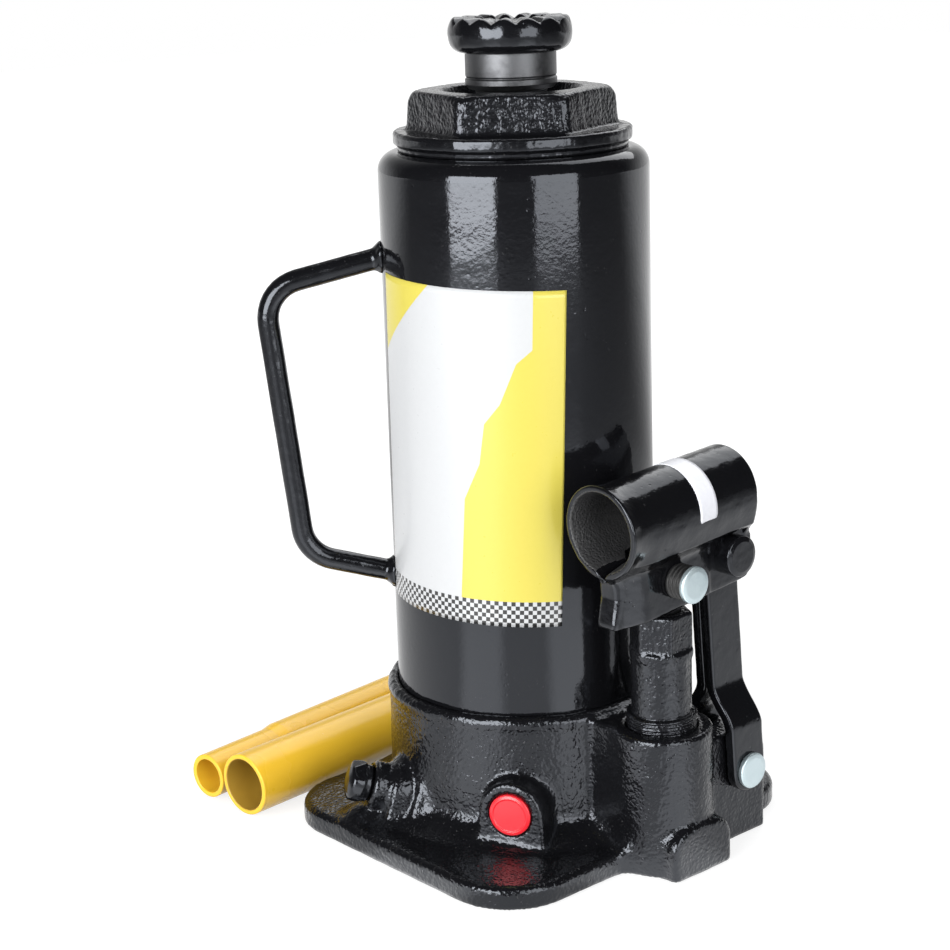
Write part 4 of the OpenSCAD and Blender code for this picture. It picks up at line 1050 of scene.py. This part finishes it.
def addCamera():
    a, p, r = (math.radians(camera[k]) for k in ("turn", "drop", "roll"))
    forward = Vector((-math.sin(a) * math.cos(p), math.cos(a) * math.cos(p), -math.sin(p)))
    right = Vector((math.cos(a), math.sin(a), 0))
    above = right.cross(forward)
    x = right * math.cos(r) - above * math.sin(r)
    y = right * math.sin(r) + above * math.cos(r)
    turned = Matrix((x, y, -forward)).transposed()
    data = bpy.data.cameras.new("viewCamera")
    data.lens, data.sensor_width = camera["lens"], 36
    data.clip_start, data.clip_end = 0.02, 50
    thing = addObject("viewCamera", data)
    thing.matrix_world = Matrix.Translation(Vector(camera["at"]) * mm) @ turned.to_4x4()
    bpy.context.scene.camera = thing


def rayKinds(tree):  # rays that see a surface directly, and mirrored rays
    path = addNode(tree, "ShaderNodeLightPath").outputs
    shown = mathNode(tree, "MAXIMUM", path["Is Camera Ray"], path["Is Transmission Ray"])
    return shown, path["Is Glossy Ray"]


def addFloor():
    half = studio["floor"] / 2
    mesh = bpy.data.meshes.new("floorSheet")
    sheet = [(-half, -half, 0), (half, -half, 0), (half, half, 0), (-half, half, 0)]
    mesh.from_pydata(sheet, [], [(0, 1, 2, 3)])
    floor = addObject("floorSheet", mesh)
    floor.location.z = -0.0002
    material, tree, shader = newMaterial("floorPaper")
    shader.inputs["Roughness"].default_value = 0.9
    shader.inputs["Specular IOR Level"].default_value = 0.1
    place = addNode(tree, "ShaderNodeTexCoord").outputs["Object"]
    away = vectorNode(tree, "LENGTH", place)
    grain = noiseNode(tree, place, 9.0, 3.0)
    colour = mixColour(tree, grain, (0.27, 0.27, 0.275, 1), (0.29, 0.29, 0.29, 1))
    tree.links.new(colour, shader.inputs["Base Color"])
    shown, glossyRay = rayKinds(tree)
    seen = mathNode(tree, "MULTIPLY", shown, rampNode(tree, away, 0.12, 0.6, studio["nearGlow"], 1.0))
    behind = rampNode(tree, vectorNode(tree, "DOT_PRODUCT", place, camera["behind"]), 0.1, 0.8)
    near = rampNode(tree, away, 0.15, 0.6, studio["mirrorGlow"], 0.02)
    for panel in ("leftPanel", "rightPanel"):  # painted reflection: for glossy rays the floor glows in a streak towards each panel, standing in for the panel's mirror image
        azimuth = math.radians(studio[panel][0])
        way = (math.cos(azimuth), math.sin(azimuth), 0.0)
        along = vectorNode(tree, "DOT_PRODUCT", place, way)
        paintedPanelStreak = rampNode(tree, mathNode(tree, "DIVIDE", along, away), 0.93, 0.985, 0.0, 1.1)
        near = mathNode(tree, "MULTIPLY_ADD", paintedPanelStreak, rampNode(tree, away, 0.1, 0.7, 1.0, 0.0), near)
    # glossy rays see the near-floor glow plus the painted panel streaks
    mirrored = mathNode(tree, "MULTIPLY", glossyRay, mathNode(tree, "MAXIMUM", near, behind))
    tree.links.new(mathNode(tree, "MAXIMUM", seen, mirrored), shader.inputs["Emission Strength"])
    shader.inputs["Emission Color"].default_value = (1, 1, 1, 1)
    mesh.materials.append(material)
    return floor


def addLamp(name):
    azimuth, height, away, size, power = studio[name]
    data = bpy.data.lights.new(name, "AREA")
    data.shape = "RECTANGLE"
    data.size, data.size_y = size
    data.energy = power
    a = math.radians(azimuth)
    at = Vector((math.cos(a) * away, math.sin(a) * away, height))
    lamp = addObject(name, data)
    lamp.location = at
    lamp.rotation_euler = (Vector((0, 0, studio["lampLevel"])) - at).to_track_quat("-Z", "Y").to_euler()


def addWorld():
    world = bpy.data.worlds.new("studioWorld")
    bpy.context.scene.world = world
    world.use_nodes = True
    tree = world.node_tree
    back = tree.nodes["Background"]
    place = addNode(tree, "ShaderNodeTexCoord").outputs["Generated"]
    rise = addNode(tree, "ShaderNodeSeparateXYZ", {0: place}).outputs[2]
    glow = rampNode(tree, rise, 0.0, 0.5, 1.0, 0.3)
    behind = rampNode(tree, vectorNode(tree, "DOT_PRODUCT", place, camera["behind"]), 0.25, 0.9, 0.04, 1.0)
    glow = mathNode(tree, "MULTIPLY", glow, behind)
    shown, glossyRay = rayKinds(tree)
    glossy = mathNode(tree, "MULTIPLY", glossyRay, glow)
    plain = mathNode(tree, "SUBTRACT", 1.0, mathNode(tree, "MAXIMUM", shown, glossyRay))
    bright = mathNode(tree, "MAXIMUM", shown, glossy)
    strength = mathNode(tree, "MULTIPLY_ADD", plain, studio["world"], bright)
    tree.links.new(strength, back.inputs["Strength"])
    back.inputs["Color"].default_value = (1, 1, 1, 1)


addCamera()
addFloor()
addWorld()
for name in ("leftPanel", "rightPanel", "topPanel"):
    addLamp(name)
bpy.context.scene.view_settings.view_transform = "Standard"
print("studio made")
